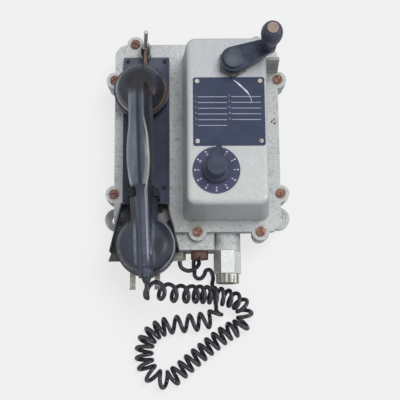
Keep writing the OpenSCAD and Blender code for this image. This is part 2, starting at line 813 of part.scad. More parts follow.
module cover_screws() {
    color("#9a8071") for (i = [0:len(case_spots) - 1])
        slotted_screw(case_spots[i][0], case_spots[i][1], top_z, screw_r, head_r, head_h,
            flange_t + gasket_t + thread_l, slot_w, slot_d, 37 * i);
}

module back_panel() {
    color("#3f4450") difference() {
        union() {
            slab(-panel_x, panel_mid_y, top_z, panel_w, panel_l, panel_t, 2);
            translate([-panel_x + panel_w / 2 - edge_w, -cup_top_y + 1.5, panel_z - cut])
                cube([edge_w, panel_top + cup_top_y - 3.5, edge_h + cut]);
        }
        for (p = concat(panel_spots, cup_spots, rest_spots))
            rod(p[0], p[1], top_z - cut, panel_z + cut, small_r + hole_gap);
        rod(-plunger_x, plunger_y, top_z - cut, panel_z + cut, plunger_r + fit_gap);
    }
}

module panel_screws() {
    color("#6f6a66") {
        for (p = panel_spots)
            slotted_screw(p[0], p[1], panel_z, small_r, small_head_r, small_head_h,
                panel_t + small_l, 0.7, 0.6, 25);
        for (p = concat(cup_spots, rest_spots))
            slotted_screw(p[0], p[1], cradle_z, small_r, small_head_r, small_head_h,
                cradle_t + panel_t + small_l, 0.7, 0.6, 70);
    }
}

// Half the width of the cradle at a distance below the middle
function cup_half(y) = (cup_top_w + (cup_low_w - cup_top_w) * (y - cup_top_y) / (cup_low_y - cup_top_y)) / 2;

module cradle_cup() {
    arm_low = arm_y + arm_l;
    color("#2d3038") translate([cup_x, 0, 0]) difference() {
        union() {
            translate([0, 0, panel_z]) linear_extrude(cradle_t) {
                polygon([for (s = [[-1, cup_top_y], [1, cup_top_y], [1, cup_low_y], [-1, cup_low_y]])
                    [s[0] * cup_half(s[1]), -s[1]]]);
                translate([-arm_gap / 2 - arm_w, -cup_top_y - cut])
                    square([arm_gap + 2 * arm_w, cup_top_y - arm_y + cut]);
            }
            for (side = [-1, 1]) {
                translate([0, 0, panel_z]) linear_extrude(cradle_t + cup_h)
                    polygon([for (q = [[0, cup_top_y], [cup_wall, cup_top_y], [cup_wall, cup_low_y],
                        [0, cup_low_y]]) [side * (cup_half(q[1]) - q[0]), -q[1]]]);
                translate([side > 0 ? arm_gap / 2 : -cup_top_w / 2, -cup_top_y - cup_wall, panel_z])
                    cube([(cup_top_w - arm_gap) / 2, cup_wall, cradle_t + cup_h]);
                translate([side > 0 ? arm_gap / 2 : -arm_gap / 2 - arm_w, -arm_low, panel_z])
                    cube([arm_w, arm_l, cradle_t + arm_h]);
                translate([side > 0 ? arm_gap / 2 : -arm_gap / 2 - arm_w, -cup_top_y - cup_wall, panel_z])
                    cube([arm_w, cup_top_y + cup_wall - arm_low + cut, cradle_t + cup_h]);
            }
        }
        for (p = concat(cup_spots, rest_spots))
            rod(p[0] - cup_x, p[1], panel_z - cut, cradle_z + cut, small_r + hole_gap);
    }
}

// Plated fork that lies under the cradle and carries the prongs for the cord
module lower_rest() {
    top_y = panel_l - panel_top + 1;
    tab_half = cup_half(rest_tab_y);
    prong_x = arm_gap / 2;
    color("#a3a6a8") translate([cup_x, 0, panel_z - rest_t]) {
        linear_extrude(rest_t) difference() {
            union() {
                polygon([for (s = [[-1, top_y], [1, top_y], [1, rest_tab_y], [-1, rest_tab_y]])
                    [s[0] * (s[1] == top_y ? cup_half(top_y) - 3 : tab_half), -s[1]]]);
                for (side = [-1, 1])
                    translate([side > 0 ? prong_x : -prong_x - arm_w, -rest_prong_y])
                        square([arm_w, rest_prong_y - rest_tab_y + cut]);
            }
            translate([-prong_x, -rest_tab_y - cut]) square([2 * prong_x, rest_tab_y - cup_low_y + 6]);
        }
        for (side = [-1, 1])
            translate([side > 0 ? prong_x : -prong_x - arm_w, -rest_prong_y, 0])
                cube([arm_w, rest_t, rest_tip_h]);
    }
}

module latch_bracket() {
    plate_l2 = half_l - panel_top - 1.5;
    color("#8f9294") translate([latch_x, 0, top_z]) difference() {
        union() {
            translate([-bracket_w / 2, panel_top + 1, 0]) cube([bracket_w, plate_l2, bracket_t]);
            for (side = [-1, 1])
                translate([side > 0 ? cheek_gap / 2 : -bracket_w / 2, latch_y - 6.5, 0])
                    cube([bracket_t, 13, latch_pin_h + 5]);
        }
        translate([-bracket_w, latch_y, latch_pin_h]) rotate([0, 90, 0])
            cylinder(r = latch_pin_r, h = 2 * bracket_w);
    }
}

module latch_pin() {
    head = 0.8;
    color("#777a7d") translate([latch_x, latch_y, latch_z]) rotate([0, 90, 0]) {
        translate([0, 0, -bracket_w / 2]) cylinder(r = latch_pin_r, h = bracket_w);
        for (side = [-1, 1])
            translate([0, 0, side > 0 ? bracket_w / 2 : -bracket_w / 2 - head])
                cylinder(r = latch_pin_r + 1, h = head);
    }
}

// Coil of the latch's spring on the pin, beside the arm
module latch_spring() {
    w = (cheek_gap - latch_w) / 2 - 2 * 0.1;
    color("#777a7d") translate([latch_x - cheek_gap / 2 + 0.1, latch_y, latch_z]) rotate([0, 90, 0])
        difference() {
            cylinder(r = latch_pin_r + 1.6, h = w);
            translate([0, 0, -cut]) cylinder(r = latch_pin_r + fit_gap, h = w + 2 * cut);
        }
}

module latch_arm() {
    toe_y = ear_y + ear_cap_r + toe_gap;
    toe_t = 4;
    color("#8a7c6c") translate([latch_x - latch_w / 2, 0, 0]) rotate([90, 0, 90])
        linear_extrude(latch_w) difference() {
            union() {
                translate([latch_y, latch_z]) circle(latch_eye_r);
                translate([latch_y, latch_z]) rotate(latch_lean) translate([-2, 0]) square([4, latch_h]);
                translate([toe_y, latch_z - toe_t / 2]) square([latch_y - toe_y - latch_pin_r - 1, toe_t]);
            }
            translate([latch_y, latch_z]) circle(latch_pin_r + fit_gap);
        }
}

module name_plate() {
    color("#5d6374") difference() {
        slab(plate_x, plate_y, face_z, plate_w, plate_l, plate_t, 2.5);
        for (p = plate_spots) rod(p[0], p[1], face_z - cut, face_z + plate_t + cut, small_r + hole_gap);
    }
}

module plate_screws() {
    color("#b9b2aa") for (p = plate_spots)
        slotted_screw(p[0], p[1], face_z + plate_t, small_r, small_head_r, small_head_h,
            plate_t + small_l, 0.7, 0.6, 15);
}

module dial_disc() {
    color("#3f4154") difference() {
        rod(dial_x, dial_y, face_z, face_z + dial_t, dial_r);
        rod(dial_x, dial_y, face_z - cut, face_z + dial_t + cut, selector_bush_r + fit_gap);
    }
}

// Knob with a skirt and a long tapered pointer
module selector_knob() {
    tip = 1.2;
    low = knob_z;
    body_h = knob_top - low;
    color("#3b3f4c") translate([dial_x, dial_y, low]) rotate([0, 0, -knob_turn]) difference() {
        union() {
            cylinder(r = skirt_r, h = skirt_h);
            cylinder(r = knob_r, h = body_h - 1.5);
            translate([0, 0, body_h - 1.5]) cylinder(r1 = knob_r, r2 = knob_r - 1.5, h = 1.5);
            intersection() {
                linear_extrude(body_h) polygon([[-knob_r, 0], [knob_r, 0], [tip, pointer_l],
                    [-tip, pointer_l]]);
                translate([-skirt_r, 0, 0]) rotate([90, 0, 90]) linear_extrude(2 * skirt_r)
                    polygon([[0, 0], [pointer_l, 0], [pointer_l, skirt_h - 1], [knob_r, body_h - 4],
                        [0, body_h - 4]]);
            }
        }
        translate([0, 0, -cut]) cylinder(r = selector_r, h = body_h - 2 + cut);
        translate([0, 0, skirt_h / 2]) rotate([90, 0, 0]) cylinder(r = small_r, h = skirt_r + cut);
    }
}

module knob_screw() {
    color("#8d8a88") translate([dial_x, dial_y, knob_z + skirt_h / 2]) rotate([0, 0, -knob_turn])
        rotate([90, 0, 0]) translate([0, 0, selector_r]) cylinder(r = small_r, h = skirt_r - selector_r - 1);
}

module selector_shaft() {
    color("#c0c2c4") rod(dial_x, dial_y, selector_low, knob_top - 2, selector_r);
}

module selector_bush() {
    tail = selector_nut_h + switch_plate_t + switch_boss_l + housing_wall + dial_t;
    color("#c2a35c") difference() {
        union() {
            rod(dial_x, dial_y, face_z + dial_t - tail, face_z + dial_t + cut, selector_bush_r);
            rod(dial_x, dial_y, face_z + dial_t, face_z + dial_t + bush_head_h, selector_bush_r + 3);
        }
        rod(dial_x, dial_y, 0, face_z + 5, selector_r + fit_gap);
    }
}

module selector_rotor() {
    color("#c2a35c") for (z = wafer_zs) difference() {
        rod(dial_x, dial_y, z - 0.5, z + wafer_t + 0.5, rotor_r);
        rod(dial_x, dial_y, 0, face_z, selector_r);
    }
}

// Spots of the two posts that carry the wafers
function post_spots() = [for (s = [-1, 1]) [dial_x + s * (wafer_r - 4), dial_y]];
post_r = 1.75;

module switch_frame() {
    low = wafer_zs[1] - 3;
    color("#b8bbbd") {
        difference() {
            rod(dial_x, dial_y, switch_z, switch_top, wafer_r);
            rod(dial_x, dial_y, switch_z - cut, switch_top + cut, selector_bush_r + fit_gap);
        }
        for (p = post_spots()) rod(p[0], p[1], low, switch_z + cut, post_r);
    }
}

module switch_wafers() {
    color("#8c5a33") for (z = wafer_zs) difference() {
        rod(dial_x, dial_y, z, z + wafer_t, wafer_r);
        rod(dial_x, dial_y, z - cut, z + wafer_t + cut, rotor_r + 0.3);
        for (p = post_spots()) rod(p[0], p[1], z - cut, z + wafer_t + cut, post_r);
    }
}

module crank_bush() {
    color("#b6b9bb") difference() {
        union() {
            hex_bar(crank_x, crank_y, face_z + plate_t + run_gap, face_z + bush_h, bush_af);
            rod(crank_x, crank_y, face_z, face_z + plate_t + run_gap + cut, bush_af / 2 - 0.2);
            rod(crank_x, crank_y, face_in - bush_tail, face_z + cut, bush_r);
        }
        rod(crank_x, crank_y, 0, face_z + bush_h + cut, shaft_r + fit_gap);
    }
}

module bush_nuts() {
    color("#c2a35c") {
        difference() {
            hex_bar(crank_x, crank_y, face_in - bush_nut_h, face_in, bush_r * 2 + 8);
            rod(crank_x, crank_y, 0, face_z, bush_r + fit_gap);
        }
        difference() {
            hex_bar(dial_x, dial_y, switch_z - selector_nut_h, switch_z, selector_bush_r * 2 + 5);
            rod(dial_x, dial_y, 0, face_z, selector_bush_r + fit_gap);
        }
    }
}

module crank_shaft() {
    color("#b6b9bb") rod(crank_x, crank_y, shaft_low, hub_z + hub_h, shaft_r);
}

// Outline of two circles a distance apart with the straight sides that touch both
module taper_outline(ra, rb, d) {
    s = (ra - rb) / d;
    c = sqrt(1 - s * s);
    circle(ra);
    translate([d, 0]) circle(rb);
    polygon([[ra * s, ra * c], [d + rb * s, rb * c], [d + rb * s, -rb * c], [ra * s, -ra * c]]);
}

module at_crank() {
    translate([crank_x, crank_y, 0]) rotate([0, 0, crank_turn]) children();
}

module crank_arm() {
    color("#3a3d49") at_crank() difference() {
        union() {
            translate([0, 0, arm_z]) linear_extrude(crank_t) taper_outline(arm_hub_r, arm_end_r, throw);
            rod(0, 0, hub_z, hub_z + hub_h, hub_r);
        }
        rod(0, 0, hub_z - cut, hub_z + hub_h + cut, shaft_r);
        rod(throw, 0, arm_z - cut, arm_z + crank_t + cut, pin_r);
        rod(arm_screw_l, 0, arm_z + 2, arm_z + crank_t + cut, small_r);
    }
}

module crank_screw() {
    color("#55524f") at_crank() {
        rod(arm_screw_l, 0, arm_z + 2, arm_z + crank_t + cut, small_r);
        rod(arm_screw_l, 0, arm_z + crank_t, arm_z + crank_t + 0.8, small_head_r);
    }
}

module grip_pin() {
    color("#a7927f") at_crank() {
        rod(throw, 0, arm_z, grip_top + run_gap + cut, pin_r);
        rod(throw, 0, grip_top + run_gap, grip_top + run_gap + rivet_h, rivet_r);
    }
}

// Half section of the grip: a neck that swells into a ball
grip_belly = grip_l - 14;
function grip_profile() = concat(
    [[pin_r + fit_gap, 0], [grip_neck_r + 1.5, 0], [grip_neck_r + 1.5, 2], [grip_neck_r, 3.5]],
    [for (a = [-80:16:80])
        let (top = a > 0)
        [(top ? rivet_r : grip_neck_r) + (grip_r - (top ? rivet_r : grip_neck_r)) * cos(a),
        grip_belly + (top ? grip_l - grip_belly - 1 : grip_belly - 8) * sin(a)]],
    [[rivet_r, grip_l], [pin_r + fit_gap, grip_l]]);

module grip() {
    color("#3e424e") at_crank() translate([throw, 0, grip_z])
        rotate_extrude() polygon(grip_profile());
}

// Corners of a gear's outline, with narrow teeth that leave backlash
function gear_points(n, tip_r, root_r, tip_half, root_half) = [for (i = [0:n - 1])
    for (q = [[root_r, -root_half], [tip_r, -tip_half], [tip_r, tip_half], [root_r, root_half]])
        [q[0] * cos(360 * i / n + q[1]), q[0] * sin(360 * i / n + q[1])]];

module drive_gear() {
    color("#c2a35c") at_crank() rotate([0, 0, -crank_turn]) difference() {
        union() {
            translate([0, 0, gear_z]) linear_extrude(gear_t)
                polygon(gear_points(gear_teeth, gear_pitch_r + 0.8 * gear_m,
                    gear_pitch_r - 1.1 * gear_m, 0.9, 1.9));
            rod(0, 0, gen_top + 0.5, gear_z + cut, hub_r);
        }
        rod(0, 0, gen_top, gear_z + gear_t + cut, shaft_r);
    }
}

// Turn of the pinion at which its teeth stand in the drive gear's gaps
pinion_phase = 18;

module pinion() {
    color("#b6b9bb") translate([gen_x, gen_y, gear_z - 1]) rotate([0, 0, pinion_phase]) difference() {
        linear_extrude(gear_t + 1) polygon(gear_points(pinion_teeth, pinion_pitch_r + 0.8 * gear_m,
            pinion_pitch_r - gear_m, 5, 10));
        translate([0, 0, -cut]) cylinder(r = armature_shaft_r, h = gear_t + 1 + 2 * cut);
    }
}

module armature() {
    slot = 5;
    color("#8d5a35") translate([gen_x, gen_y, gen_back + gen_plate_t]) difference() {
        cylinder(r = armature_r, h = gen_l - 2 * gen_plate_t);
        for (side = [-1, 1]) translate([-slot / 2, side > 0 ? armature_r - slot : -armature_r - 1, -cut])
            cube([slot, slot + 1, gen_l]);
        translate([0, 0, -cut]) cylinder(r = armature_shaft_r, h = gen_l);
    }
}

module armature_shaft() {
    color("#b6b9bb") rod(gen_x, gen_y, gen_back - gen_plate_t + 0.5, gear_z + gear_t + 1, armature_shaft_r);
}

module generator_frame() {
    front_y_top = crank_y + 28.4;
    front_y_low = gen_y - gen_d / 2;
    color("#9da0a3") difference() {
        union() {
            translate([gen_x - gen_w / 2, front_y_low, gen_front])
                cube([gen_w, front_y_top - front_y_low, gen_plate_t]);
            translate([gen_x - gen_w / 2, gen_y - gen_d / 2, gen_back - gen_plate_t])
                cube([gen_w, gen_d, gen_plate_t]);
            for (p = pillar_spots) rod(p[0], p[1], gen_back - cut, gen_front + cut, pillar_r);
        }
        rod(crank_x, crank_y, gen_front - cut, gen_top + cut, shaft_r + fit_gap);
        rod(gen_x, gen_y, gen_back - 2 * gen_plate_t, gen_top + cut, armature_shaft_r + fit_gap);
        for (p = gen_screw_spots) rod(p[0], p[1], gen_front - cut, gen_top + cut, gen_screw_r + hole_gap);
    }
}

module generator_screws() {
    head = 2.5;
    color("#9a8071") for (p = gen_screw_spots) if (p[1] > gen_y) {
        rod(p[0], p[1], gen_front - head, gen_front, gen_screw_r * 2);
        rod(p[0], p[1], gen_front - cut, gen_top + gen_screw_l, gen_screw_r);
    } else {
        rod(p[0], p[1], gen_top - gen_plate_t, gen_top + gen_screw_l, gen_screw_r);
    }
}

// Two pole magnets on the back plate, either side of the armature
module generator_magnets() {
    deep = 40;
    wide = gen_w - 4;
    gap = 9;
    color("#7d3f34") translate([gen_x, gen_y, gen_back]) difference() {
        translate([-wide / 2, -deep / 2, 0]) cube([wide, deep, magnet_h]);
        translate([0, 0, -cut]) cylinder(r = armature_r + air_gap, h = magnet_h + 2 * cut);
        translate([-gap / 2, -deep, -cut]) cube([gap, 2 * deep, magnet_h + 2 * cut]);
        for (p = pillar_spots) translate([p[0] - gen_x, p[1] - gen_y, -cut])
            cylinder(r = pillar_r + fit_gap, h = magnet_h + 2 * cut);
    }
}

module howler_body() {
    wall = 3;
    color("#4a4d52") difference() {
        rod(-howler_x, -howler_y, base_floor, base_floor + howler_h, howler_r);
        rod(-howler_x, -howler_y, base_floor + wall, base_floor + howler_h + cut, howler_r - wall);
    }
}

module howler_diaphragm() {
    color("#b6b9bb") rod(-howler_x, -howler_y, base_floor + howler_h, base_floor + howler_h + 0.6, howler_r - 1);
}

terminal_count = 6;
function terminal_spots() = [for (i = [0:terminal_count - 1], s = [-1, 1])
    [block_x + (i - (terminal_count - 1) / 2) * block_w / (terminal_count + 0.5), -block_y + s * block_d / 4]];

module terminal_block() {
    color("#4c3426") difference() {
        translate([block_x - block_w / 2, -block_y - block_d / 2, base_floor]) cube([block_w, block_d, block_h]);
        for (p = terminal_spots())
            rod(p[0], p[1], base_floor + block_h - 5, base_floor + block_h + cut, small_r + fit_gap);
    }
}

module terminal_screws() {
    top = base_floor + block_h;
    color("#c2a35c") for (p = terminal_spots())
        slotted_screw(p[0], p[1], top, small_r, small_head_r, small_head_h, 5, 0.7, 0.6, 0);
}

// Bundle of wires through a list of points
module bundle(path, r) {
    for (i = [0:len(path) - 2]) {
        v = path[i + 1] - path[i];
        translate(path[i]) rotate([0, acos(v[2] / norm(v)), atan2(v[1], v[0])])
            cylinder(r = r, h = norm(v), $fn = 24);
        if (i > 0) translate(path[i]) sphere(r, $fn = 24);
    }
}

module wiring_loom() {
    top = base_floor + block_h;
    low = base_floor + 7;
    wall_y = -base_out_y + base_wall;
    left = block_x - block_w / 2;
    gen_wire_x = gen_x + 16;
    color("#6b5a3f") {
        bundle([[-cord_gland_x, wall_y, cord_gland_z], [-cord_gland_x, -block_y, cord_gland_z],
            [-cord_gland_x, -block_y, top]], loom_r);
        bundle([[dial_x + wafer_r - 9, dial_y, top], [dial_x + wafer_r - 9, dial_y, wafer_zs[1]]], 2);
        bundle([[gen_wire_x, -block_y + block_d / 2, low], [gen_wire_x, gen_y, low],
            [gen_wire_x, gen_y, gen_back - gen_plate_t]], 2);
        bundle([[left - 0.4, -block_y, low], [-howler_x, -block_y - 3, low],
            [-howler_x, -howler_y - howler_r - 0.2, low]], 2);
    }
}

module gland_body() {
    seal_l = 10;
    color("#d7dbdc") difference() {
        union() {
            translate([gland_x, block_y_low, gland_z]) rotate([90, 0, 0])
                cylinder(r = gland_af / sqrt(3), h = gland_l, $fn = 6);
            rod_y(gland_x, gland_z, block_y_low + spigot_l, block_y_low - cut, gland_thread_r);
        }
        rod_y(gland_x, gland_z, block_y_low + spigot_l + cut, block_y_low - gland_l - cut, gland_bore_r);
        rod_y(gland_x, gland_z, block_y_low - gland_l + seal_l, block_y_low - gland_l - cut,
            gland_bore_r + 2.5);
    }
}

module gland_seal() {
    seal_l = 10;
    color("#2a2a2a") difference() {
        rod_y(gland_x, gland_z, block_y_low - gland_l + seal_l, block_y_low - gland_l, gland_bore_r + 2.5);
        rod_y(gland_x, gland_z, block_y_low, block_y_low - 2 * gland_l, gland_bore_r);
    }
}

module gland_nut() {
    low = block_y_low - gland_l;
    ribs = 12;
    color("#c9cdce") difference() {
        rod_y(gland_x, gland_z, low, low - gland_nut_l, gland_af / 2 - 0.5);
        rod_y(gland_x, gland_z, low + cut, low - gland_nut_l - cut, gland_bore_r);
        for (i = [0:ribs - 1]) translate([gland_x, 0, gland_z]) rotate([0, i * 360 / ribs, 0])
            translate([gland_af / 2 - 1.5, low - gland_nut_l - cut, -0.8])
                cube([3, gland_nut_l - 3, 1.6]);
    }
}

module blanking_plug() {
    color("#67544e") difference() {
        union() {
            rod_y(plug_x, gland_z, block_y_low, block_y_low - plug_t, plug_r);
            rod_y(plug_x, gland_z, block_y_low + spigot_l - 1, block_y_low - cut, plug_thread_r);
        }
        translate([plug_x - 1, block_y_low - plug_t - cut, gland_z - plug_r]) cube([2, 2, 2 * plug_r]);
    }
}

module cord_gland() {
    color("#8d8a6c") {
        translate([-cord_gland_x, block_y_low, cord_gland_z]) rotate([90, 0, 0])
            cylinder(r = cord_gland_r, h = cord_gland_l, $fn = 6);
        rod_y(-cord_gland_x, cord_gland_z, -base_out_y + base_wall, block_y_low - cut, cord_thread_r);
    }
}

// Bracket on the floor whose shelf guides the plunger and carries its spring
module hook_frame() {
    w = 20;
    t = 2;
    back = plunger_y + 12;
    color("#b8bbbd") difference() {
        union() {
            translate([-plunger_x - w / 2, plunger_y - 10, base_floor]) cube([w, back - plunger_y + 10, t]);
            translate([-plunger_x - w / 2, back - t, base_floor]) cube([w, t, shelf_h]);
            translate([-plunger_x - w / 2, plunger_y - 10, shelf_z - t]) cube([w, back - plunger_y + 10, t]);
        }
        rod(-plunger_x, plunger_y, shelf_z - t - cut, shelf_z + cut, plunger_r / 2 + fit_gap);
    }
}

// Points of a spring between two heights, with its end turns near the ends
function spring_points(x, y, a, b, r, turns, n) = [for (i = [0:turns * n])
    [x + r * cos(360 * i / n), y + r * sin(360 * i / n), a + (b - a) * i / (turns * n)]];

module hook_spring() {
    color("#b6b9bb") tube(spring_points(-plunger_x, plunger_y, shelf_z + spring_wire_r,
        collar_z - spring_wire_r, spring_r, spring_turns, curl_rings), spring_wire_r, cord_sides);
}

module hook_plunger() {
    color("#d8d4c8") {
        rod(-plunger_x, plunger_y, collar_z, cradle_z, plunger_r);
        rod(-plunger_x, plunger_y, collar_z, collar_z + collar_t, collar_r);
        rod(-plunger_x, plunger_y, shelf_z - 6, collar_z + cut, plunger_r / 2);
    }
}

// The handset is drawn straight along Y and then leans in its cradle
module leaning() {
    translate([cup_x, lean_y, 0]) rotate([0, 0, lean]) translate([0, -lean_y, 0]) children();
}

// Half section of the rounded shell over an earpiece or a mouthpiece
function shell_profile(r, h, top_r) = concat([[0, 0], [r, 0]],
    [for (a = [0:15:90]) [top_r + (r - top_r) * cos(a), 4 + (h - 4) * sin(a)]], [[0, h]]);

// Cross-section of the handle with its flat facets, square to Y
module handle_section(y, w, low, high) {
    t = high - low;
    translate([0, y, low]) rotate([90, 0, 0]) linear_extrude(0.5)
        polygon([[-w * 0.32, 0], [w * 0.32, 0], [w / 2, t * 0.2], [w * 0.47, t * 0.62],
            [w * 0.22, t * 0.96], [0, t], [-w * 0.22, t * 0.96], [-w * 0.47, t * 0.62], [-w / 2, t * 0.2]]);
}

// Rows of the handle: distance along Y, width, underside and top
shoulder_y = -arm_y + shoulder_gap;
handle_rows = [
    [ear_y + 8, handle_w * 0.5, shell_z + 17, shell_z + 23],
    [ear_y - 16, handle_w * 0.9, handle_low, handle_top - 6],
    [ear_y - 29, handle_w * 0.96, handle_low, handle_top],
    [(ear_y - mouth_y) / 2, handle_w, handle_low, handle_top],
    [shoulder_y + 0.5, handle_w * 0.96, handle_low - 1, handle_top - 3]];
neck_rows = [
    [shoulder_y + 1, neck_w, handle_low - 2, handle_top - 4],
    [-mouth_y + 34, neck_w, handle_low - 3, handle_top - 11],
    [-mouth_y + 14, 2 * neck_w, handle_low - 4, shell_z + shell_h + 1],
    [-mouth_y - 6, 2 * neck_w - 4, handle_low - 4, shell_z + shell_h - 1]];

module handset_body() {
    color("#30343c") leaning() difference() {
        union() {
            translate([0, ear_y, shell_z]) rotate_extrude() polygon(shell_profile(ear_shell_r, shell_h, 9));
            translate([0, -mouth_y, shell_z]) rotate_extrude() polygon(shell_profile(mouth_shell_r, shell_h, 12));
            for (i = [0:len(handle_rows) - 2]) hull() {
                handle_section(handle_rows[i][0], handle_rows[i][1], handle_rows[i][2], handle_rows[i][3]);
                handle_section(handle_rows[i + 1][0], handle_rows[i + 1][1], handle_rows[i + 1][2],
                    handle_rows[i + 1][3]);
            }
            for (i = [0:len(neck_rows) - 2]) hull() {
                handle_section(neck_rows[i][0], neck_rows[i][1], neck_rows[i][2], neck_rows[i][3]);
                handle_section(neck_rows[i + 1][0], neck_rows[i + 1][1], neck_rows[i + 1][2],
                    neck_rows[i + 1][3]);
            }
            rod_y(0, cord_nut_z, -mouth_y, cord_nut_y, cord_nut_r - 0.2);
        }
        rod(0, ear_y, shell_z - cut, shell_z + handle_z - 2, ear_shell_r - shell_wall);
        rod(0, -mouth_y, shell_z - cut, shell_z + handle_z - 4, mouth_shell_r - shell_wall);
        rod_y(0, cord_nut_z, cord_nut_y, cord_nut_y - 20, cord_nut_r + 0.1);
    }
}

// Screwed cap with holes in its face
module cap(y, r, inner_r, hole_ring) {
    leaning() difference() {
        union() {
            rod(0, y, cap_z + 2, ring_z, r);
            translate([0, y, cap_z]) cylinder(r1 = r - 2, r2 = r, h = 2);
        }
        rod(0, y, cap_z + cap_face, ring_z + cut, inner_r);
        for (i = [0:5]) translate([0, y, 0]) rotate([0, 0, 60 * i])
            rod(hole_ring, 0, cap_z - cut, cap_z + cap_face + cut, 1.5);
    }
}

module ear_cap() {
    color("#383c45") cap(ear_y, ear_cap_r, ear_shell_r - shell_wall, 8);
}

module mouth_cap() {
    color("#44474f") cap(-mouth_y, mouth_cap_r, mouth_shell_r - shell_wall, 11);
}

module ear_ring() {
    color("#9a6a44") leaning() difference() {
        rod(0, ear_y, ring_z, shell_z, ear_ring_r);
        rod(0, ear_y, ring_z - cut, shell_z + cut, ear_shell_r - shell_wall);
    }
}

module mouth_ring() {
    color("#55585f") leaning() difference() {
        rod(0, -mouth_y, ring_z, shell_z, mouth_ring_r);
        rod(0, -mouth_y, ring_z - cut, shell_z + cut, mouth_shell_r - shell_wall);
    }
}

module receiver_capsule() {
    color("#8f9294") leaning()
        rod(0, ear_y, cap_z + cap_face, shell_z + handle_z - 3, ear_shell_r - shell_wall - 0.3);
}

module transmitter_capsule() {
    color("#8f9294") leaning()
        rod(0, -mouth_y, cap_z + cap_face, shell_z + handle_z - 5, mouth_shell_r - shell_wall - 0.3);
}

module handset_gland() {
    notches = 6;
    color("#3c3f46") leaning() difference() {
        rod_y(0, cord_nut_z, cord_nut_y, cord_nut_y - cord_nut_l, cord_nut_r);
        for (i = [0:notches - 1]) translate([0, 0, cord_nut_z]) rotate([0, i * 360 / notches, 0])
            translate([cord_nut_r - 1.5, cord_nut_y - cord_nut_l - cut, -1.2]) cube([3, 4, 2.4]);
    }
}

module cord_boot() {
    low = cord_nut_y - cord_nut_l;
    color("#26282d") leaning() translate([0, low, cord_nut_z]) rotate([90, 0, 0])
        cylinder(r1 = cord_nut_r - 2.6, r2 = cord_d / 2 + 1, h = boot_l);
}

module handset_cord() {
    points = strand(cord_route, cord_start_turn);
    echo(str("Rings of the cord: ", len(points)));
    echo(str("Least gap of the cord to itself in mm: ", least_gap(points) - cord_d));
    color("#2b2c33") tube(points, cord_d / 2, cord_sides);
}

base_casting();
case_gasket();
front_cover();
cover_screws();
back_panel();
panel_screws();
cradle_cup();
lower_rest();
latch_bracket();
latch_pin();
latch_spring();
latch_arm();
name_plate();
plate_screws();
dial_disc();
selector_knob();
knob_screw();
selector_shaft();
selector_bush();
selector_rotor();
switch_frame();
switch_wafers();
crank_bush();
bush_nuts();
crank_shaft();
crank_arm();
crank_screw();
grip_pin();
grip();
drive_gear();
pinion();
armature();
armature_shaft();
generator_frame();
generator_screws();
generator_magnets();
howler_body();
howler_diaphragm();
terminal_block();
terminal_screws();
wiring_loom();
gland_body();
gland_seal();
gland_nut();
blanking_plug();
cord_gland();
hook_frame();
hook_spring();
hook_plunger();
handset_body();
ear_cap();
ear_ring();
mouth_cap();
mouth_ring();
receiver_capsule();
transmitter_capsule();
handset_gland();
cord_boot();
handset_cord();
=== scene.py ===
"""Looks of a wall telephone set with a hand generator, a selector and a handset.

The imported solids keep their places. Castings, mouldings, screws and the curly
cord are refined here, and every surface gets its own worn finish.
"""

import json
import math

import bmesh
import bpy
from mathutils import Matrix, Vector

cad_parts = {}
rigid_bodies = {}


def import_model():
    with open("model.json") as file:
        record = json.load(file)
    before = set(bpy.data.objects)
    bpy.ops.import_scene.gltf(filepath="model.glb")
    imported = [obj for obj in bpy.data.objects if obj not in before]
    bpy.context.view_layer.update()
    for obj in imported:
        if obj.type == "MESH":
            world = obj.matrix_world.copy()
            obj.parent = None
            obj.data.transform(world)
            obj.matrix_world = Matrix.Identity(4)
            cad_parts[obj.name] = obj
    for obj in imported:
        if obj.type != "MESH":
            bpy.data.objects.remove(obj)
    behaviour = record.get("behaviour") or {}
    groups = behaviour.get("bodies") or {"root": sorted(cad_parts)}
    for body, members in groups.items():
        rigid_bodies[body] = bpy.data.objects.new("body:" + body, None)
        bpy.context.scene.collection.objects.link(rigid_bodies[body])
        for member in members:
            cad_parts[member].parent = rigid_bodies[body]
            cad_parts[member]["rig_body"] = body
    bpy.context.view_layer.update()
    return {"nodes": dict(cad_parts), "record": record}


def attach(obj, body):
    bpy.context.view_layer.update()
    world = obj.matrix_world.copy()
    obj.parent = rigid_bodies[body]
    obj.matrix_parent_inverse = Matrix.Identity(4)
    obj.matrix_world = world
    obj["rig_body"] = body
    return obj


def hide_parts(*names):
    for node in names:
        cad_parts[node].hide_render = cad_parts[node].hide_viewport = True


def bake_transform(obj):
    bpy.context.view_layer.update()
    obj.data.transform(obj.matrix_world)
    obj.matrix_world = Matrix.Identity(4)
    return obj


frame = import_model()
NODES = frame["nodes"]
MM = 0.001


# The camera, as the photo's vanishing point gives it: millimetres, turns in radians, place in metres
LENS, SENSOR = 81, 36
CAMERA_TURNS = (("X", 0.1965865), ("Y", -0.0099754), ("Z", -0.0065401))
CAMERA_PLACE = (-0.006957, -0.26098, 1.003218)


def make_camera():
    data = bpy.data.cameras.new("camera")
    data.lens, data.sensor_width = LENS, SENSOR
    camera = bpy.data.objects.new("camera", data)
    bpy.context.scene.collection.objects.link(camera)
    turn = Matrix()
    for axis, angle in CAMERA_TURNS:
        turn = turn @ Matrix.Rotation(angle, 4, axis)
    camera.matrix_world = Matrix.Translation(CAMERA_PLACE) @ turn
    bpy.context.scene.camera = camera


make_camera()


# Shader helpers
def tone(red, green, blue):
    """A colour given as it looks on a screen, 0 to 255, in linear light."""
    linear = [((c / 255 + 0.055) / 1.055) ** 2.4 if c > 10 else c / 255 / 12.92 for c in (red, green, blue)]
    return (*linear, 1.0)


def scaled(shade, by):
    """A shade made darker or lighter, and no lighter than white."""
    return tone(*[min(c * by, 255) for c in shade])


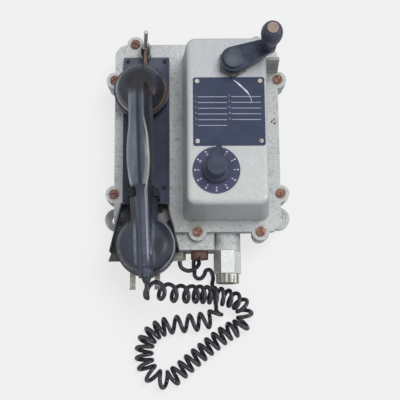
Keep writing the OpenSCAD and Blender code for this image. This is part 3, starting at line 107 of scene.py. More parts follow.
class Wire:
    """One output of a node, with arithmetic that adds Math nodes."""

    def __init__(self, finish, socket):
        self.finish, self.socket = finish, socket

    def math(self, operation, *terms, first=None):
        values = [self, *terms] if first is None else [first, self]
        return self.finish.node("ShaderNodeMath", {"operation": operation}, values)

    def __add__(self, other):
        return self.math("ADD", other)

    def __mul__(self, other):
        return self.math("MULTIPLY", other)

    def __sub__(self, other):
        return self.math("SUBTRACT", other)

    def __truediv__(self, other):
        return self.math("DIVIDE", other)

    def __rsub__(self, other):
        return self.math("SUBTRACT", first=other)

    def __abs__(self):
        return self.math("ABSOLUTE")

    __radd__, __rmul__ = __add__, __mul__

    def clamp(self):
        return self.finish.node("ShaderNodeClamp", {}, [self])

    def band(self, low, high):
        """0 below low and 1 above high, with a smooth step between."""
        return self.finish.node("ShaderNodeMapRange", {"interpolation_type": "SMOOTHSTEP"}, [self, low, high])

    def stripe(self, at, inner, outer):
        """1 within inner of a value, falling to 0 at outer."""
        return 1 - abs(self - at).band(inner, outer)


class Finish:
    """A material whose nodes are added one call at a time."""

    def __init__(self, name, rough, metal=0.0, **fixed):
        self.material = bpy.data.materials.new(name)
        self.material.use_nodes = True
        self.nodes = self.material.node_tree.nodes
        self.links = self.material.node_tree.links
        self.shader = self.nodes["Principled BSDF"]
        self.set("Roughness", rough)
        self.set("Metallic", metal)
        for socket, value in fixed.items():
            self.set(socket.replace("_", " "), value)
        self.place = self.node("ShaderNodeTexCoord", {}, [], "Object")

    def plug(self, socket, value):
        if isinstance(value, Wire):
            self.links.new(value.socket, socket)
        else:
            socket.default_value = value

    def set(self, socket, value):
        self.plug(self.shader.inputs[socket], value)
        return self

    def node(self, kind, settings, values, output=0):
        """A node with its settings, then its inputs by position or by name."""
        made = self.nodes.new(kind)
        for key, setting in settings.items():
            setattr(made, key, setting)
        pairs = values.items() if isinstance(values, dict) else enumerate(values)
        for key, value in pairs:
            self.plug(made.inputs[key], value)
        return Wire(self, made.outputs[output])

    def noise(self, scale, detail=3.0, rough=0.55, stretch=None):
        at = self.place
        if stretch:
            at = self.node("ShaderNodeMapping", {}, {"Vector": at, "Scale": stretch})
        values = {"Vector": at, "Scale": scale, "Detail": detail, "Roughness": rough}
        return self.node("ShaderNodeTexNoise", {}, values)

    def along(self, axis):
        return self.node("ShaderNodeSeparateXYZ", {}, [self.place], axis)

    def mix(self, share, first, second):
        values = {0: share, 6: first, 7: second}
        return self.node("ShaderNodeMix", {"data_type": "RGBA"}, values, 2)

    def near(self, x, y, radius, z=None, mirrored=False):
        """1 at a point or upright line, in millimetres, falling to 0 at a radius."""
        dx, dy = self.along("X"), self.along("Y")
        if mirrored:
            dx, dy = abs(dx), abs(dy)
        dx, dy = dx - x * MM, dy - y * MM
        total = dx * dx + dy * dy
        if z is not None:
            dz = self.along("Z") - z * MM
            total = total + dz * dz
        return 1 - (total / (radius * MM) ** 2).band(0.25, 1.0)

    def worn(self):
        """1 on the narrow faces that break a refined piece's edges, thinned by noise."""
        edge = self.node("ShaderNodeAttribute", {"attribute_name": "worn"}, [], "Fac")
        return edge * (0.45 + self.noise(240, 4).band(0.35, 0.6) * 0.55)

    def bump(self, height, depth, strength=1.0):
        """Relief whose height, from 0 to 1, stands for a depth in millimetres."""
        values = {"Strength": strength, "Distance": depth * MM, "Height": height}
        return self.set("Normal", self.node("ShaderNodeBump", {}, values))


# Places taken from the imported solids
def corners_of(node):
    piece = NODES[node]
    return [piece.matrix_world @ Vector(corner) for corner in piece.bound_box]


def middle(node):
    """Middle of a CAD node's box, in metres."""
    return sum(corners_of(node), Vector()) / 8


def span(node):
    """Lowest and highest corner of a CAD node's box, in metres."""
    corners = corners_of(node)
    return [Vector([pick(corner[i] for corner in corners) for i in range(3)]) for pick in (min, max)]


EAR, MOUTH = middle("ear_ring"), middle("mouth_ring")
HUB = middle("crank_shaft") / MM
CRADLE_X = middle("cradle_cup").x / MM
ARM_Y = span("cradle_cup")[1].y / MM - 4
# Painted shade on the face of the rib on the case's right side
GUSSET_SHADE = (81, 72.8)
# Painted shade on the case: x, y, radius and share
SHADED = ((-90, -86, 16, 0.45), (-102, -76, 9, 0.4), (21, -114, 6, 0.5), (0, -93, 12, 0.3))
# Chipped paint at the case's right edge: x, y and radius, at one height
CHIPS = ((85.1, 18.9, 1.7), (85.4, 14.3, 1.9), (82.2, 16.2, 1.5), (83.6, 17.4, 1.0))
CHIPS_Z = 50
# Worn places of the crank's hub; painted shade on the cradle's arm tops and a painted highlight inside its
# right wing; painted shade along the panel's right side and the panel paler at its top: x, y, radius, share
# and shade
CRANK_PATCHES = [
    (HUB.x, HUB.y - 2, 12, 0.5, (88, 98, 102)),
    (HUB.x - 1.5, HUB.y - 4, 7, 0.22, (120, 126, 130)),
]
# Painted shade on the tops of the cradle's two arms
CRADLE_PATCHES = [(CRADLE_X + side * 13, ARM_Y, 9, 0.9, (18, 18, 22)) for side in (-1, 1)]
# Painted highlight on the inside of the cradle's right wing
CRADLE_PATCHES.append((CRADLE_X + 22, ARM_Y - 20, 11, 0.9, (126, 124, 126)))
# Painted shade along the panel's right side; the second row makes the panel paler at its top
PANEL_PATCHES = [(-36, -10, 42, 0.45, (38, 40, 52)), (-60, 94, 34, 0.3, (122, 122, 130))]
FINISHES = {}


def keep(slot, finish):
    FINISHES[slot] = finish.material


# Finishes
def case_paint():
    """Hammered silver paint, speckled and dirty low down, with rust about the screws, a few chips, painted
    light on the lower part of the cover's face and painted shade in places.
    """
    paint = Finish("hammered_silver_paint", 0.48, 0.1)
    low = 1 - paint.along("Z").band(0.052, 0.075)
    cloud = paint.noise(28, 4).band(0.35, 0.7)
    base = paint.mix(low * (0.4 + cloud * 0.5), tone(192, 195, 198), tone(208, 209, 206))
    # Painted light: the lower part of the cover's face is made paler
    front = 1 - paint.along("Y").band(-0.07, 0.03)
    front = front * paint.along("Z").band(0.106, 0.11)
    base = paint.mix(front * 0.7, base, tone(208, 208, 205))
    grain = paint.noise(620, 4, 0.65).band(0.44, 0.64)
    base = paint.mix(grain * (0.16 + low * 0.2), base, tone(118, 122, 126))
    fleck = paint.noise(430, 4, 0.7, stretch=(1, 1.3, 1)).band(0.55, 0.65)
    base = paint.mix(fleck * (0.14 + low * 0.42), base, tone(96, 95, 88))
    shine = paint.noise(760, 2).band(0.58, 0.68)
    base = paint.mix(shine * 0.35, base, tone(224, 226, 228))
    grime_and_shade = paint.noise(95, 5, 0.65).band(0.52, 0.7) * low
    base = paint.mix(grime_and_shade * 0.42, base, tone(144, 140, 124))
    rust = paint.near(90, 64.4, 8.5, mirrored=True) + paint.near(67.6, 106, 8.5, mirrored=True)
    rust = rust + paint.near(0, -106, 9)
    rust = (rust * paint.noise(260, 4).band(0.36, 0.62)).clamp()
    base = paint.mix(rust * 0.45, base, tone(134, 103, 78))
    # Painted shade on the rib's face, blotched by the cloud
    stain_and_shade = paint.near(*GUSSET_SHADE, 11) * paint.along("Z").band(0.053, 0.06)
    base = paint.mix(stain_and_shade * (0.35 + cloud * 0.4), base, tone(98, 94, 92))
    # Painted shade at the places in SHADED
    for x, y, size, share in SHADED:
        base = paint.mix(paint.near(x, y, size) * share, base, tone(128, 130, 132))
    ragged = paint.noise(700, 3).band(0.3, 0.6)
    for x, y, size in CHIPS:
        base = paint.mix(paint.near(x, y, size, z=CHIPS_Z) * ragged, base, tone(46, 44, 44))
    base = paint.mix(paint.worn() * 0.35, base, tone(206, 208, 208))
    paint.set("Base Color", base)
    paint.set("Roughness", 0.44 + grain * 0.12 + grime_and_shade * 0.15)
    paint.bump(paint.noise(520, 2) * 0.7 + grain * 0.3, 0.2, 0.6)
    keep("case_paint", paint)


def steel(slot, shade, rough, spots=0.35, stain_and_shade=(96, 84, 72), scratch=220, metal=0.9):
    """Brushed metal that turns dull and loses its shine where it is tarnished."""
    skin = Finish(slot, rough, 0.85)
    base = skin.mix(skin.noise(320, 4).band(0.35, 0.75) * 0.5, tone(*shade), scaled(shade, 0.72))
    tarnish = skin.noise(180, 5, 0.6).band(0.52, 0.7)
    base = skin.mix(tarnish * spots, base, tone(*stain_and_shade))
    brush = skin.noise(scratch, 2, stretch=(1, 14, 1))
    skin.set("Base Color", base)
    skin.set("Metallic", metal - tarnish * spots * metal)
    skin.set("Roughness", rough + tarnish * 0.25 + brush * 0.1)
    skin.bump(brush, 0.05, 0.35)
    keep(slot, skin)


def rust(slot, light, dark, grain=650):
    """Rusty iron with pits, darker towards the handset's side."""
    iron = Finish(slot, 0.8, 0.2)
    patch = iron.noise(grain * 0.4, 5, 0.65)
    base = iron.mix(patch.band(0.38, 0.66), tone(*dark), tone(*light))
    pits = iron.noise(grain * 2.2, 3).band(0.52, 0.66)
    base = iron.mix(pits * 0.6, base, scaled(dark, 0.55))
    left = 1 - iron.along("X").band(-0.08, 0.0)
    base = iron.mix(left * 0.45, base, tone(72, 58, 58))
    iron.set("Base Color", base)
    iron.set("Roughness", 0.62 + pits * 0.3)
    iron.bump(patch + iron.noise(grain, 4) * 0.6, 0.18, 0.7)
    keep(slot, iron)


def moulding(slot, shade, rough, haze=0.25, pale=(120, 126, 138), grain=700, wear=0.5, edge=0.5, patches=()):
    """Moulded or painted dark surface with dust, fine scratches and pale worn edges.

    Patches are rows of x, y, radius, share and shade for worn places, paler places, painted shade and painted
    highlights.
    """
    skin = Finish(slot, rough, Specular_IOR_Level=0.3)
    base = skin.mix(skin.noise(60, 4).band(0.3, 0.75), tone(*shade), scaled(shade, 0.88))
    dust = skin.noise(85, 6, 0.62).band(0.42, 0.72)
    base = skin.mix(dust * haze, base, tone(*pale))
    scuff = skin.noise(150, 6, 0.7, stretch=(1, 6, 2)).band(0.64, 0.7)
    base = skin.mix(scuff * wear * 0.5, base, scaled(pale, 1.25))
    base = skin.mix(skin.worn() * edge, base, scaled(pale, 1.4))
    for x, y, radius, share, patch in patches:
        base = skin.mix(skin.near(x, y, radius) * share, base, tone(*patch))
    skin.set("Base Color", base)
    skin.set("Roughness", rough + dust * 0.14 + scuff * 0.2)
    skin.bump(skin.noise(grain, 3) + scuff * 0.5, 0.05, 0.4)
    keep(slot, skin)


# The handle swells about its middle: where, how far its ridge and its left side move, and how fast it fades
SWELL_AT, RIDGE_OUT, LEFT_OUT = 88, 1.4, 3
SWELL_LOW, SWELL_HIGH = 17, 20
RIDGE_IN = -3


def swell_loss(ahead):
    """What the handle's swelling has lost at a distance from the mouthpiece, in millimetres."""
    reach = SWELL_LOW if ahead < SWELL_AT else SWELL_HIGH
    return ((ahead - SWELL_AT) / reach) ** 2


def handset_plastic(slot, shade):
    """Glossy black with a painted reflection on the handle's left facet, painted highlights and painted shade
    along its facets, and pale bands in its hollows.

    Across and ahead are millimetres from the mouthpiece, over and along the handset.
    """
    skin = Finish(slot, 0.24)
    base = skin.mix(skin.noise(70, 4).band(0.3, 0.75), tone(*shade), scaled(shade, 0.82))
    slope = (EAR.x - MOUTH.x) / (EAR.y - MOUTH.y)
    across = (skin.along("X") - MOUTH.x - (skin.along("Y") - MOUTH.y) * slope) / MM
    ahead = (skin.along("Y") - MOUTH.y) / MM
    high = skin.along("Z").band(0.094, 0.098)
    dust = skin.noise(60, 5, 0.6).band(0.3, 0.7)
    run = skin.noise(90, 4, 0.6, stretch=(3, 0.3, 1)).band(0.35, 0.65)
    # The handle's facets, from left to right
    long = ahead.band(57, 60) * (1 - ahead.band(150, 172)) * high
    # Painted reflection on the handle's left facet
    facet = across.band(-17, -13) * (1 - across.band(-5.6, -3.4))
    base = skin.mix(facet * long * (0.3 + run * 0.3), base, tone(136, 146, 160))
    # Painted shade along the groove beside the left facet
    groove = across.stripe(-2.6, 0.6, 1.8)
    base = skin.mix(groove * long * 0.9, base, tone(20, 22, 30))
    # Painted reflection, pale blue, on the handle's top facet
    blue = across.stripe(1.6, 0.6, 2.6)
    base = skin.mix(blue * long * (0.16 + run * 0.2), base, tone(100, 116, 142))
    # Painted highlights that follow the handle's swelling
    below = (ahead - SWELL_AT).math("MINIMUM", 0.0) / SWELL_LOW
    above = (ahead - SWELL_AT).math("MAXIMUM", 0.0) / SWELL_HIGH
    loss = below * below + above * above
    crest = across - (RIDGE_OUT - loss).math("MAXIMUM", RIDGE_IN)
    side = across + (LEFT_OUT - loss).math("MAXIMUM", 0.0)
    sheen = crest.stripe(4.2, 0.8, 3.2) * (1 - ahead.band(90, 116))
    base = skin.mix(sheen * long * (0.4 + run * 0.3), base, tone(158, 160, 162))
    ridge_highlight = crest.stripe(6, 0.4, 1.5) * (1 - ahead.band(100, 150) * 0.7) * (1 - ahead.band(150, 168))
    base = skin.mix(ridge_highlight * high * (0.3 + run * 0.3), base, tone(206, 206, 200))
    # Painted highlight along the handle's left edge
    rim = side.stripe(-12, 0.4, 1.8) * (1 - ahead.band(95, 140) * 0.7)
    base = skin.mix(rim * long * (0.3 + run * 0.3), base, tone(196, 204, 222))
    right = across.band(8, 11) * long
    base = skin.mix(right * (0.16 + run * 0.2), base, tone(112, 116, 112))
    # The neck over the mouthpiece, with a hollow on either side
    low_end = 1 - ahead.band(40, 58)
    ridge = across.stripe(-1, 4.5, 6) * low_end
    base = skin.mix(ridge * (0.2 + dust * 0.16), base, tone(112, 122, 148))
    # Painted shade in a dark line along the neck
    crease = across.stripe(-3.6, 0.6, 2) * low_end
    base = skin.mix(crease * 0.6, base, tone(26, 28, 36))
    hollow = abs(across + 0.5).stripe(9.5, 0.5, 2.2) * (1 - ahead.band(16, 30)) * ahead.band(-26, -18)
    hollow = hollow * (1 - across.band(0, 4) * 0.3)
    base = skin.mix(hollow * (0.22 + dust * 0.2), base, tone(150, 156, 170))
    # The shells of the earpiece and the mouthpiece
    at_ear = ahead.band(150, 166)
    arch = skin.near(EAR.x / MM, EAR.y / MM + 1, 20) * at_ear
    base = skin.mix(arch * 0.9, base, tone(18, 14, 15))
    brown = skin.near(EAR.x / MM + 13, EAR.y / MM - 14, 12) * at_ear
    base = skin.mix(brown * 0.7, base, tone(58, 38, 30))
    # Painted shade on the mouthpiece's right, which is also made rougher
    dull_shade = skin.near(MOUTH.x / MM + 17, MOUTH.y / MM - 4, 12)
    base = skin.mix(dull_shade * 0.6, base, tone(16, 14, 18))
    scuff = skin.noise(190, 6, 0.7, stretch=(1, 5, 2)).band(0.64, 0.7)
    base = skin.mix(scuff * 0.2, base, tone(150, 154, 162))
    base = skin.mix(skin.worn() * 0.5, base, tone(150, 152, 170))
    skin.set("Base Color", base)
    skin.set("Roughness", 0.22 + dust * 0.12 + scuff * 0.2 + dull_shade * 0.2)
    skin.bump(skin.noise(260, 4), 0.05, 0.3)
    keep(slot, skin)


def ear_ring_metal(slot):
    """Lacquered ring: pale at the left, dark at the top and bare copper at the lower right."""
    metal = Finish(slot, 0.36, 0.5)
    blotch = metal.noise(160, 4).band(0.3, 0.7)
    base = metal.mix(blotch, tone(150, 146, 160), tone(196, 186, 176))
    right = ((metal.along("X") - EAR.x) / MM).band(2, 12)
    base = metal.mix(right, base, metal.mix(blotch, tone(92, 68, 56), tone(128, 98, 80)))
    top = ((metal.along("Y") - EAR.y) / MM).band(8, 18)
    base = metal.mix(top, base, tone(58, 56, 64))
    metal.set("Base Color", base)
    metal.set("Roughness", 0.3 + blotch * 0.2)
    metal.bump(metal.noise(300, 3), 0.05, 0.4)
    keep(slot, metal)


def rest_steel(slot):
    """Dull fork, darkened beside the cup by painted shade and bright at the prongs."""
    metal = Finish(slot, 0.42, 0.7)
    stain_and_shade = metal.noise(200, 5, 0.6).band(0.4, 0.7)
    base = metal.mix(stain_and_shade * 0.7, tone(178, 176, 168), tone(120, 112, 96))
    # Painted shade on the fork's upper part beside the cup, less to the right
    grime_and_shade = metal.along("Y").band(-0.1405, -0.1385) * (1 - metal.along("X").band(-0.06, -0.03) * 0.6)
    base = metal.mix(grime_and_shade * 0.85, base, tone(48, 46, 46))
    metal.set("Base Color", base)
    metal.set("Roughness", 0.36 + stain_and_shade * 0.2)
    metal.bump(stain_and_shade, 0.06, 0.4)
    keep(slot, metal)


def latch_steel(slot):
    """Grey rod whose foot is brown with rust."""
    metal = Finish(slot, 0.4, 0.15)
    blotch = metal.noise(220, 5, 0.6).band(0.35, 0.7)
    base = metal.mix(blotch, tone(206, 206, 208), tone(168, 166, 166))
    foot = 1 - metal.along("Z").band(0.064, 0.069)
    base = metal.mix(foot, base, metal.mix(blotch, tone(130, 108, 94), tone(84, 66, 58)))
    base = metal.mix(metal.worn() * 0.5, base, tone(188, 186, 182))
    metal.set("Base Color", base)
    metal.set("Roughness", 0.36 + blotch * 0.2)
    metal.bump(blotch, 0.08, 0.4)
    keep(slot, metal)


def rubber(slot, shade, rough=0.5):
    """Dark rubber with a little dust."""
    skin = Finish(slot, rough)
    dust = skin.noise(140, 5, 0.6).band(0.4, 0.75)
    base = skin.mix(dust * 0.4, tone(*shade), tone(84, 84, 88))
    skin.set("Base Color", base)
    skin.set("Roughness", rough - 0.05 + dust * 0.25)
    skin.bump(skin.noise(900, 3), 0.05, 0.5)
    keep(slot, skin)


def plated(slot, shade, rough):
    """Bright plating with water marks, a few brown pits and a painted dark reflection along its broken edges.
    """
    metal = Finish(slot, rough, 1.0)
    marks = metal.noise(70, 5, 0.6).band(0.4, 0.75)
    pits = metal.noise(520, 4, 0.6).band(0.63, 0.72)
    base = metal.mix(marks * 0.5, tone(*shade), scaled(shade, 0.85))
    base = metal.mix(pits * 0.7, base, tone(116, 100, 78))
    # Painted dark reflection along the broken edges
    base = metal.mix(metal.worn() * 0.9, base, tone(84, 82, 78))
    metal.set("Base Color", base)
    metal.set("Metallic", 0.7 - pits * 0.5)
    metal.set("Roughness", rough + marks * 0.14 + pits * 0.4)
    metal.bump(marks + pits, 0.04, 0.4)
    keep(slot, metal)


NUT_RIBS = 14


def ribbed_plating(slot):
    """Tarnished plating with dark grooves round the cable gland's axis."""
    metal = Finish(slot, 0.3, 0.8)
    axis = middle("gland_nut")
    across, up = metal.along("X") - axis.x, metal.along("Z") - axis.z
    grooves = (across.math("ARCTAN2", up) * NUT_RIBS).math("SINE").band(-0.1, 0.7)
    tarnish = metal.noise(240, 5, 0.6).band(0.4, 0.7)
    base = metal.mix(tarnish * 0.6, tone(206, 204, 196), tone(142, 132, 114))
    base = metal.mix(grooves * 0.7, base, tone(70, 66, 60))
    metal.set("Base Color", base)
    metal.set("Roughness", 0.26 + tarnish * 0.2)
    metal.bump(1 - grooves, 0.3, 0.6)
    keep(slot, metal)


def board(slot, shade, other, scale=240, rough=0.55, stretch=(1, 8, 1)):
    """Laminate, cloth lacing or painted metal with a fine run of two colours."""
    skin = Finish(slot, rough)
    run = skin.noise(scale, 4, 0.6, stretch=stretch)
    skin.set("Base Color", skin.mix(run.band(0.35, 0.7), tone(*shade), tone(*other)))
    skin.set("Roughness", rough + run * 0.15)
    skin.bump(run, 0.08, 0.5)
    keep(slot, skin)


case_paint()
steel("plated_steel", (168, 167, 164), 0.36, 0.85, (92, 80, 68), metal=0.8)
steel("spring_steel", (170, 172, 174), 0.3, 0.2)
latch_steel("latch_metal")
rest_steel("rest_steel")
steel("bush_steel", (132, 130, 122), 0.42, 0.7, (92, 80, 64), metal=0.6)
steel("dark_screw", (74, 72, 72), 0.5, 0.6, (58, 48, 44))
steel("cast_alloy", (170, 172, 174), 0.5, 0.2, scratch=500)
steel("brass", (190, 160, 96), 0.34, 0.5, (112, 86, 52))
steel("copper", (172, 148, 136), 0.5, 0.5, (136, 108, 92), metal=0.45)
steel("olive_brass", (176, 170, 156), 0.42, 0.7, (124, 116, 98), metal=0.6)
steel("plate_screw", (214, 208, 194), 0.4, 0.9, (104, 80, 64), metal=0.3)
rust("rusty_screw", (182, 138, 118), (124, 90, 78))
rust("rusty_plug", (122, 90, 80), (88, 66, 60), 420)
moulding("panel_black", (64, 69, 86), 0.5, 0.2, (104, 110, 124), patches=PANEL_PATCHES)
moulding(
    "cradle_black", (46, 46, 52), 0.3, 0.7, (100, 100, 106), wear=1, edge=1, patches=CRADLE_PATCHES
)
moulding("plate_metal", (60, 67, 88), 0.42, 0.1, (96, 102, 122))
moulding("dial_plastic", (75, 77, 101), 0.5, 0.15, (104, 108, 128))
moulding("knob_plastic", (66, 71, 88), 0.4, 0.25, (100, 106, 122))
moulding("crank_black", (56, 61, 80), 0.4, 0.3, (104, 112, 124), wear=0.8, edge=0.35)
moulding(
    "crank_worn", (57, 63, 78), 0.42, 0.5, (104, 114, 118), wear=1, edge=0.3, patches=CRANK_PATCHES
)
handset_plastic("handset_black", (45, 50, 63))
ear_ring_metal("ear_ring_metal")
moulding("ring_grey", (132, 134, 150), 0.4, 0.3, (176, 178, 190))
moulding("terminal_brown", (72, 50, 40), 0.35, 0.1, (110, 92, 80))
moulding("magnet_paint", (132, 62, 50), 0.45, 0.15, (150, 100, 86))
moulding("white_plastic", (214, 208, 196), 0.45, 0.2, (180, 170, 150))
rubber("black_rubber", (40, 40, 44))
rubber("cord_rubber", (38, 39, 48), 0.27)
plated("bright_plating", (236, 238, 236), 0.2)
ribbed_plating("ribbed_plating")
board("wafer_board", (132, 84, 52), (104, 62, 38))
board("mark_white", (226, 228, 230), (186, 190, 196), 700)
board("mark_grey", (176, 180, 196), (138, 142, 162), 500)
board("loom_cloth", (136, 118, 84), (108, 92, 62), 900, 0.8, (1, 1, 6))
LOOKS = {
    "gland_nut": "ribbed_plating",
    "plate_screws": "plate_screw",
    "lower_rest": "rest_steel",
    "ear_ring": "ear_ring_metal",
}


def dress(piece, slot):
    """Gives a piece its finish in every material slot."""
    if not piece.data.materials:
        piece.data.materials.append(None)
    for i in range(len(piece.material_slots)):
        piece.material_slots[i].link = "OBJECT"
        piece.material_slots[i].material = FINISHES[slot]
    return piece


SLOT_OF = {row["node"]: row["material_slot"] for row in frame["record"]["subparts"]}
for name, node in NODES.items():
    dress(node, LOOKS.get(name, SLOT_OF[name]))


# Mesh helpers
def piece_from(name, mesh, body, look, *nodes):
    """Makes an object of a bmesh, on a body, with a finish, in place of CAD nodes."""
    data = bpy.data.meshes.new(name)
    mesh.to_mesh(data)
    mesh.free()
    piece = bpy.data.objects.new(name, data)
    bpy.context.scene.collection.objects.link(piece)
    dress(piece, look)
    if body:
        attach(piece, body)
    if nodes:
        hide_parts(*nodes)
    return piece


def smooth(piece, angle=35):
    """Smooth faces with sharp edges past an angle, and normals led by the large faces."""
    data = piece.data
    mesh = bmesh.new()
    mesh.from_mesh(data)
    for face in mesh.faces:
        face.smooth = True
    for edge in mesh.edges:
        edge.smooth = len(edge.link_faces) == 2 and edge.calc_face_angle(0) < math.radians(angle)
    mesh.to_mesh(data)
    mesh.free()
    weighted = piece.modifiers.new("weighted", "WEIGHTED_NORMAL")
    weighted.keep_sharp = True
    return piece


def body_of(node):
    return NODES[node]["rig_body"]


def break_edges(mesh, edges, offset, segments):
    """Rounds edges off by an offset in millimetres."""
    bmesh.ops.bevel(
        mesh, geom=edges, offset=offset * MM, affect="EDGES", segments=segments, profile=0.5, material=-1
    )


def skin_rings(mesh, rings):
    """Faces between closed rings of edges, with both ends filled."""
    for first, second in zip(rings, rings[1:]):
        bmesh.ops.bridge_loops(mesh, edges=first + second)
    bmesh.ops.holes_fill(mesh, edges=rings[0] + rings[-1], sides=0)
    bmesh.ops.recalc_face_normals(mesh, faces=mesh.faces)


def ring_of(mesh, spots):
    """A closed ring of edges through spots in millimetres."""
    ring = [mesh.verts.new((x * MM, y * MM, z * MM)) for x, y, z in spots]
    return [mesh.edges.new(pair) for pair in zip(ring, ring[1:] + ring[:1])]


# Corners of a solid's mesh closer than this are one, in metres, and faces within this angle are flat
CAD_SEAM, CAD_FLAT = 0.00002, 0.6


def refine(node, width=0.4, angle=32, segments=2):
    """A copy of a CAD solid with its sharp edges broken, in the solid's place."""
    mesh = bmesh.new()
    mesh.from_mesh(NODES[node].data)
    bmesh.ops.remove_doubles(mesh, verts=mesh.verts, dist=CAD_SEAM)
    bmesh.ops.dissolve_limit(mesh, angle_limit=math.radians(CAD_FLAT), verts=mesh.verts, edges=mesh.edges)
    sharp = [e for e in mesh.edges if len(e.link_faces) == 2 and e.calc_face_angle(0) > math.radians(angle)]
    broken = bmesh.ops.bevel(
        mesh,
        geom=sharp,
        offset=width * MM,
        offset_type="OFFSET",
        affect="EDGES",
        segments=segments,
        profile=0.5,
        material=-1,
        clamp_overlap=True,
    )
    layer = mesh.loops.layers.float.new("worn")
    for face in broken["faces"]:
        for corner in face.loops:
            corner[layer] = 1.0
    return smooth(piece_from(node + "_fine", mesh, body_of(node), LOOKS.get(node, SLOT_OF[node]), node))


# The curly cord
CORD_START_TURN = 80
# Middle line of the curls: x, y, z and radius in millimetres, and the turns up to the next row
CORD_ROUTE = [
    (-53, -164.3, 83, 0, 0), (-52.8, -169, 83, 0, 0), (-54.5, -174, 81.5, 0, 0),
    (-53, -176, 77, 3, 0.5), (-44, -170, 68, 8.5, 1), (-32, -171, 56, 8.5, 1),
    (-19, -171.5, 44, 8.5, 1.1), (-6, -171, 34, 8.5, 1.6), (7, -171, 27, 8.5, 1.8),
    (20, -172, 23, 8.5, 1.7), (33, -174.5, 20, 8.3, 1.5), (44.5, -179, 15, 8, 1.1),
    (50.5, -187.5, 12, 7.6, 0.85), (50.5, -198, 11, 7.6, 0.9), (44, -205.5, 11, 8, 1.3),
    (33, -210.5, 11, 8.3, 2.5), (15, -223.5, 11, 8.3, 2.5), (-3, -238, 11, 8.3, 2.4),
    (-20, -252.5, 11, 8.3, 1.4), (-32, -261, 11, 8.5, 1), (-46, -259, 11, 8.5, 1.2),
    (-56, -248, 11, 8.5, 1.6), (-59, -234, 11, 8.5, 1.6), (-56.5, -219.5, 11, 8.5, 1.6),
    (-47, -209, 11, 8.5, 1.6), (-34, -203.5, 11, 8.5, 1.1), (-19, -201.5, 11, 8.5, 1.1),
    (-4, -200, 11, 8.5, 1.1), (9, -197.5, 11, 8.5, 0.8), (19, -192.5, 10.5, 7.5, 0.6),
    (21, -182.5, 4, 1, 0.2), (18, -170, 3, 0.2, 0), (16.5, -158, 4.5, 1.5, 0.35),
    (10, -149.5, 11, 8, 0.5), (0, -148.5, 6, 3, 0.3), (-3.5, -142, 3, 0, 0),
    (-4.5, -133, 5, 0, 0), (-1.5, -129, 11, 0, 0), (1.5, -135.3, 16, 0, 0),
    (-2.5, -141.5, 19.5, 0, 0), (-10, -144.5, 21.5, 0, 0), (-17, -142, 23, 0, 0),
    (-19.5, -137.5, 24, 0, 0), (-19.5, -133.3, 24, 0, 0),
]
CORD_D = 4.6
CURL_RINGS = 8


def curve_point(points, i, share):
    """Point between points i and i + 1 of a smooth line through all of them."""
    a, b, c, d = (points[min(max(i + k, 0), len(points) - 1)] for k in (-1, 0, 1, 2))
    return 0.5 * (
        2 * b + (c - a) * share + (2 * a - 5 * b + 4 * c - d) * share**2 + (3 * b - a - 3 * c + d) * share**3
    )


def strand_points():
    """The same turns as the solid's: a helix about a smooth middle line."""
    spots = [Vector(row[:3]) for row in CORD_ROUTE]
    middle, radius, angle, before = [], [], [], 0.0
    for i in range(len(CORD_ROUTE) - 1):
        turns = CORD_ROUTE[i][4]
        count = max(3, int(CURL_RINGS * turns + 0.5))
        for k in range(count):
            share = k / count
            middle.append(curve_point(spots, i, share))
            radius.append(CORD_ROUTE[i][3] + (CORD_ROUTE[i + 1][3] - CORD_ROUTE[i][3]) * share)
            angle.append(CORD_START_TURN + 360 * (before + turns * share))
        before += turns
    middle.append(spots[-1])
    radius.append(CORD_ROUTE[-1][3])
    angle.append(CORD_START_TURN + 360 * before)
    points, side = [], Vector((1, 0, 0))
    last = len(middle) - 1
    for i, at in enumerate(middle):
        along = (middle[min(i + 1, last)] - middle[max(i - 1, 0)]).normalized()
        side = (side - side.dot(along) * along).normalized()
        turn = math.radians(angle[i])
        points.append(at + radius[i] * (math.cos(turn) * side + math.sin(turn) * along.cross(side)))
    return points


def rounded(line, sides=10):
    """A closed tube round a line of points, with rings that don't twist."""
    mesh = bmesh.new()
    rings, side = [], Vector((1, 0, 0))
    last, radius = len(line) - 1, CORD_D / 2 * MM
    turns = [math.tau * k / sides for k in range(sides)]
    for i, at in enumerate(line):
        along = (line[min(i + 1, last)] - line[max(i - 1, 0)]).normalized()
        side = (side - side.dot(along) * along).normalized()
        across = along.cross(side)
        spots = [at + radius * (math.cos(turn) * side + math.sin(turn) * across) for turn in turns]
        rings.append([mesh.verts.new(spot) for spot in spots])
    for first, second in zip(rings, rings[1:]):
        for k in range(sides):
            j = (k + 1) % sides
            mesh.faces.new((first[k], first[j], second[j], second[k])).smooth = True
    mesh.faces.new(list(reversed(rings[0])))
    mesh.faces.new(rings[-1])
    bmesh.ops.recalc_face_normals(mesh, faces=mesh.faces)
    return mesh


def make_cord():
    coarse = strand_points()
    fine = [curve_point(coarse, i, k / 3) * MM for i in range(len(coarse) - 1) for k in range(3)]
    fine.append(coarse[-1] * MM)
    length = sum((b - a).length for a, b in zip(fine, fine[1:]))
    cord = piece_from("handset_cord_curls", rounded(fine), None, "cord_rubber", "handset_cord")
    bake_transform(cord)


make_cord()


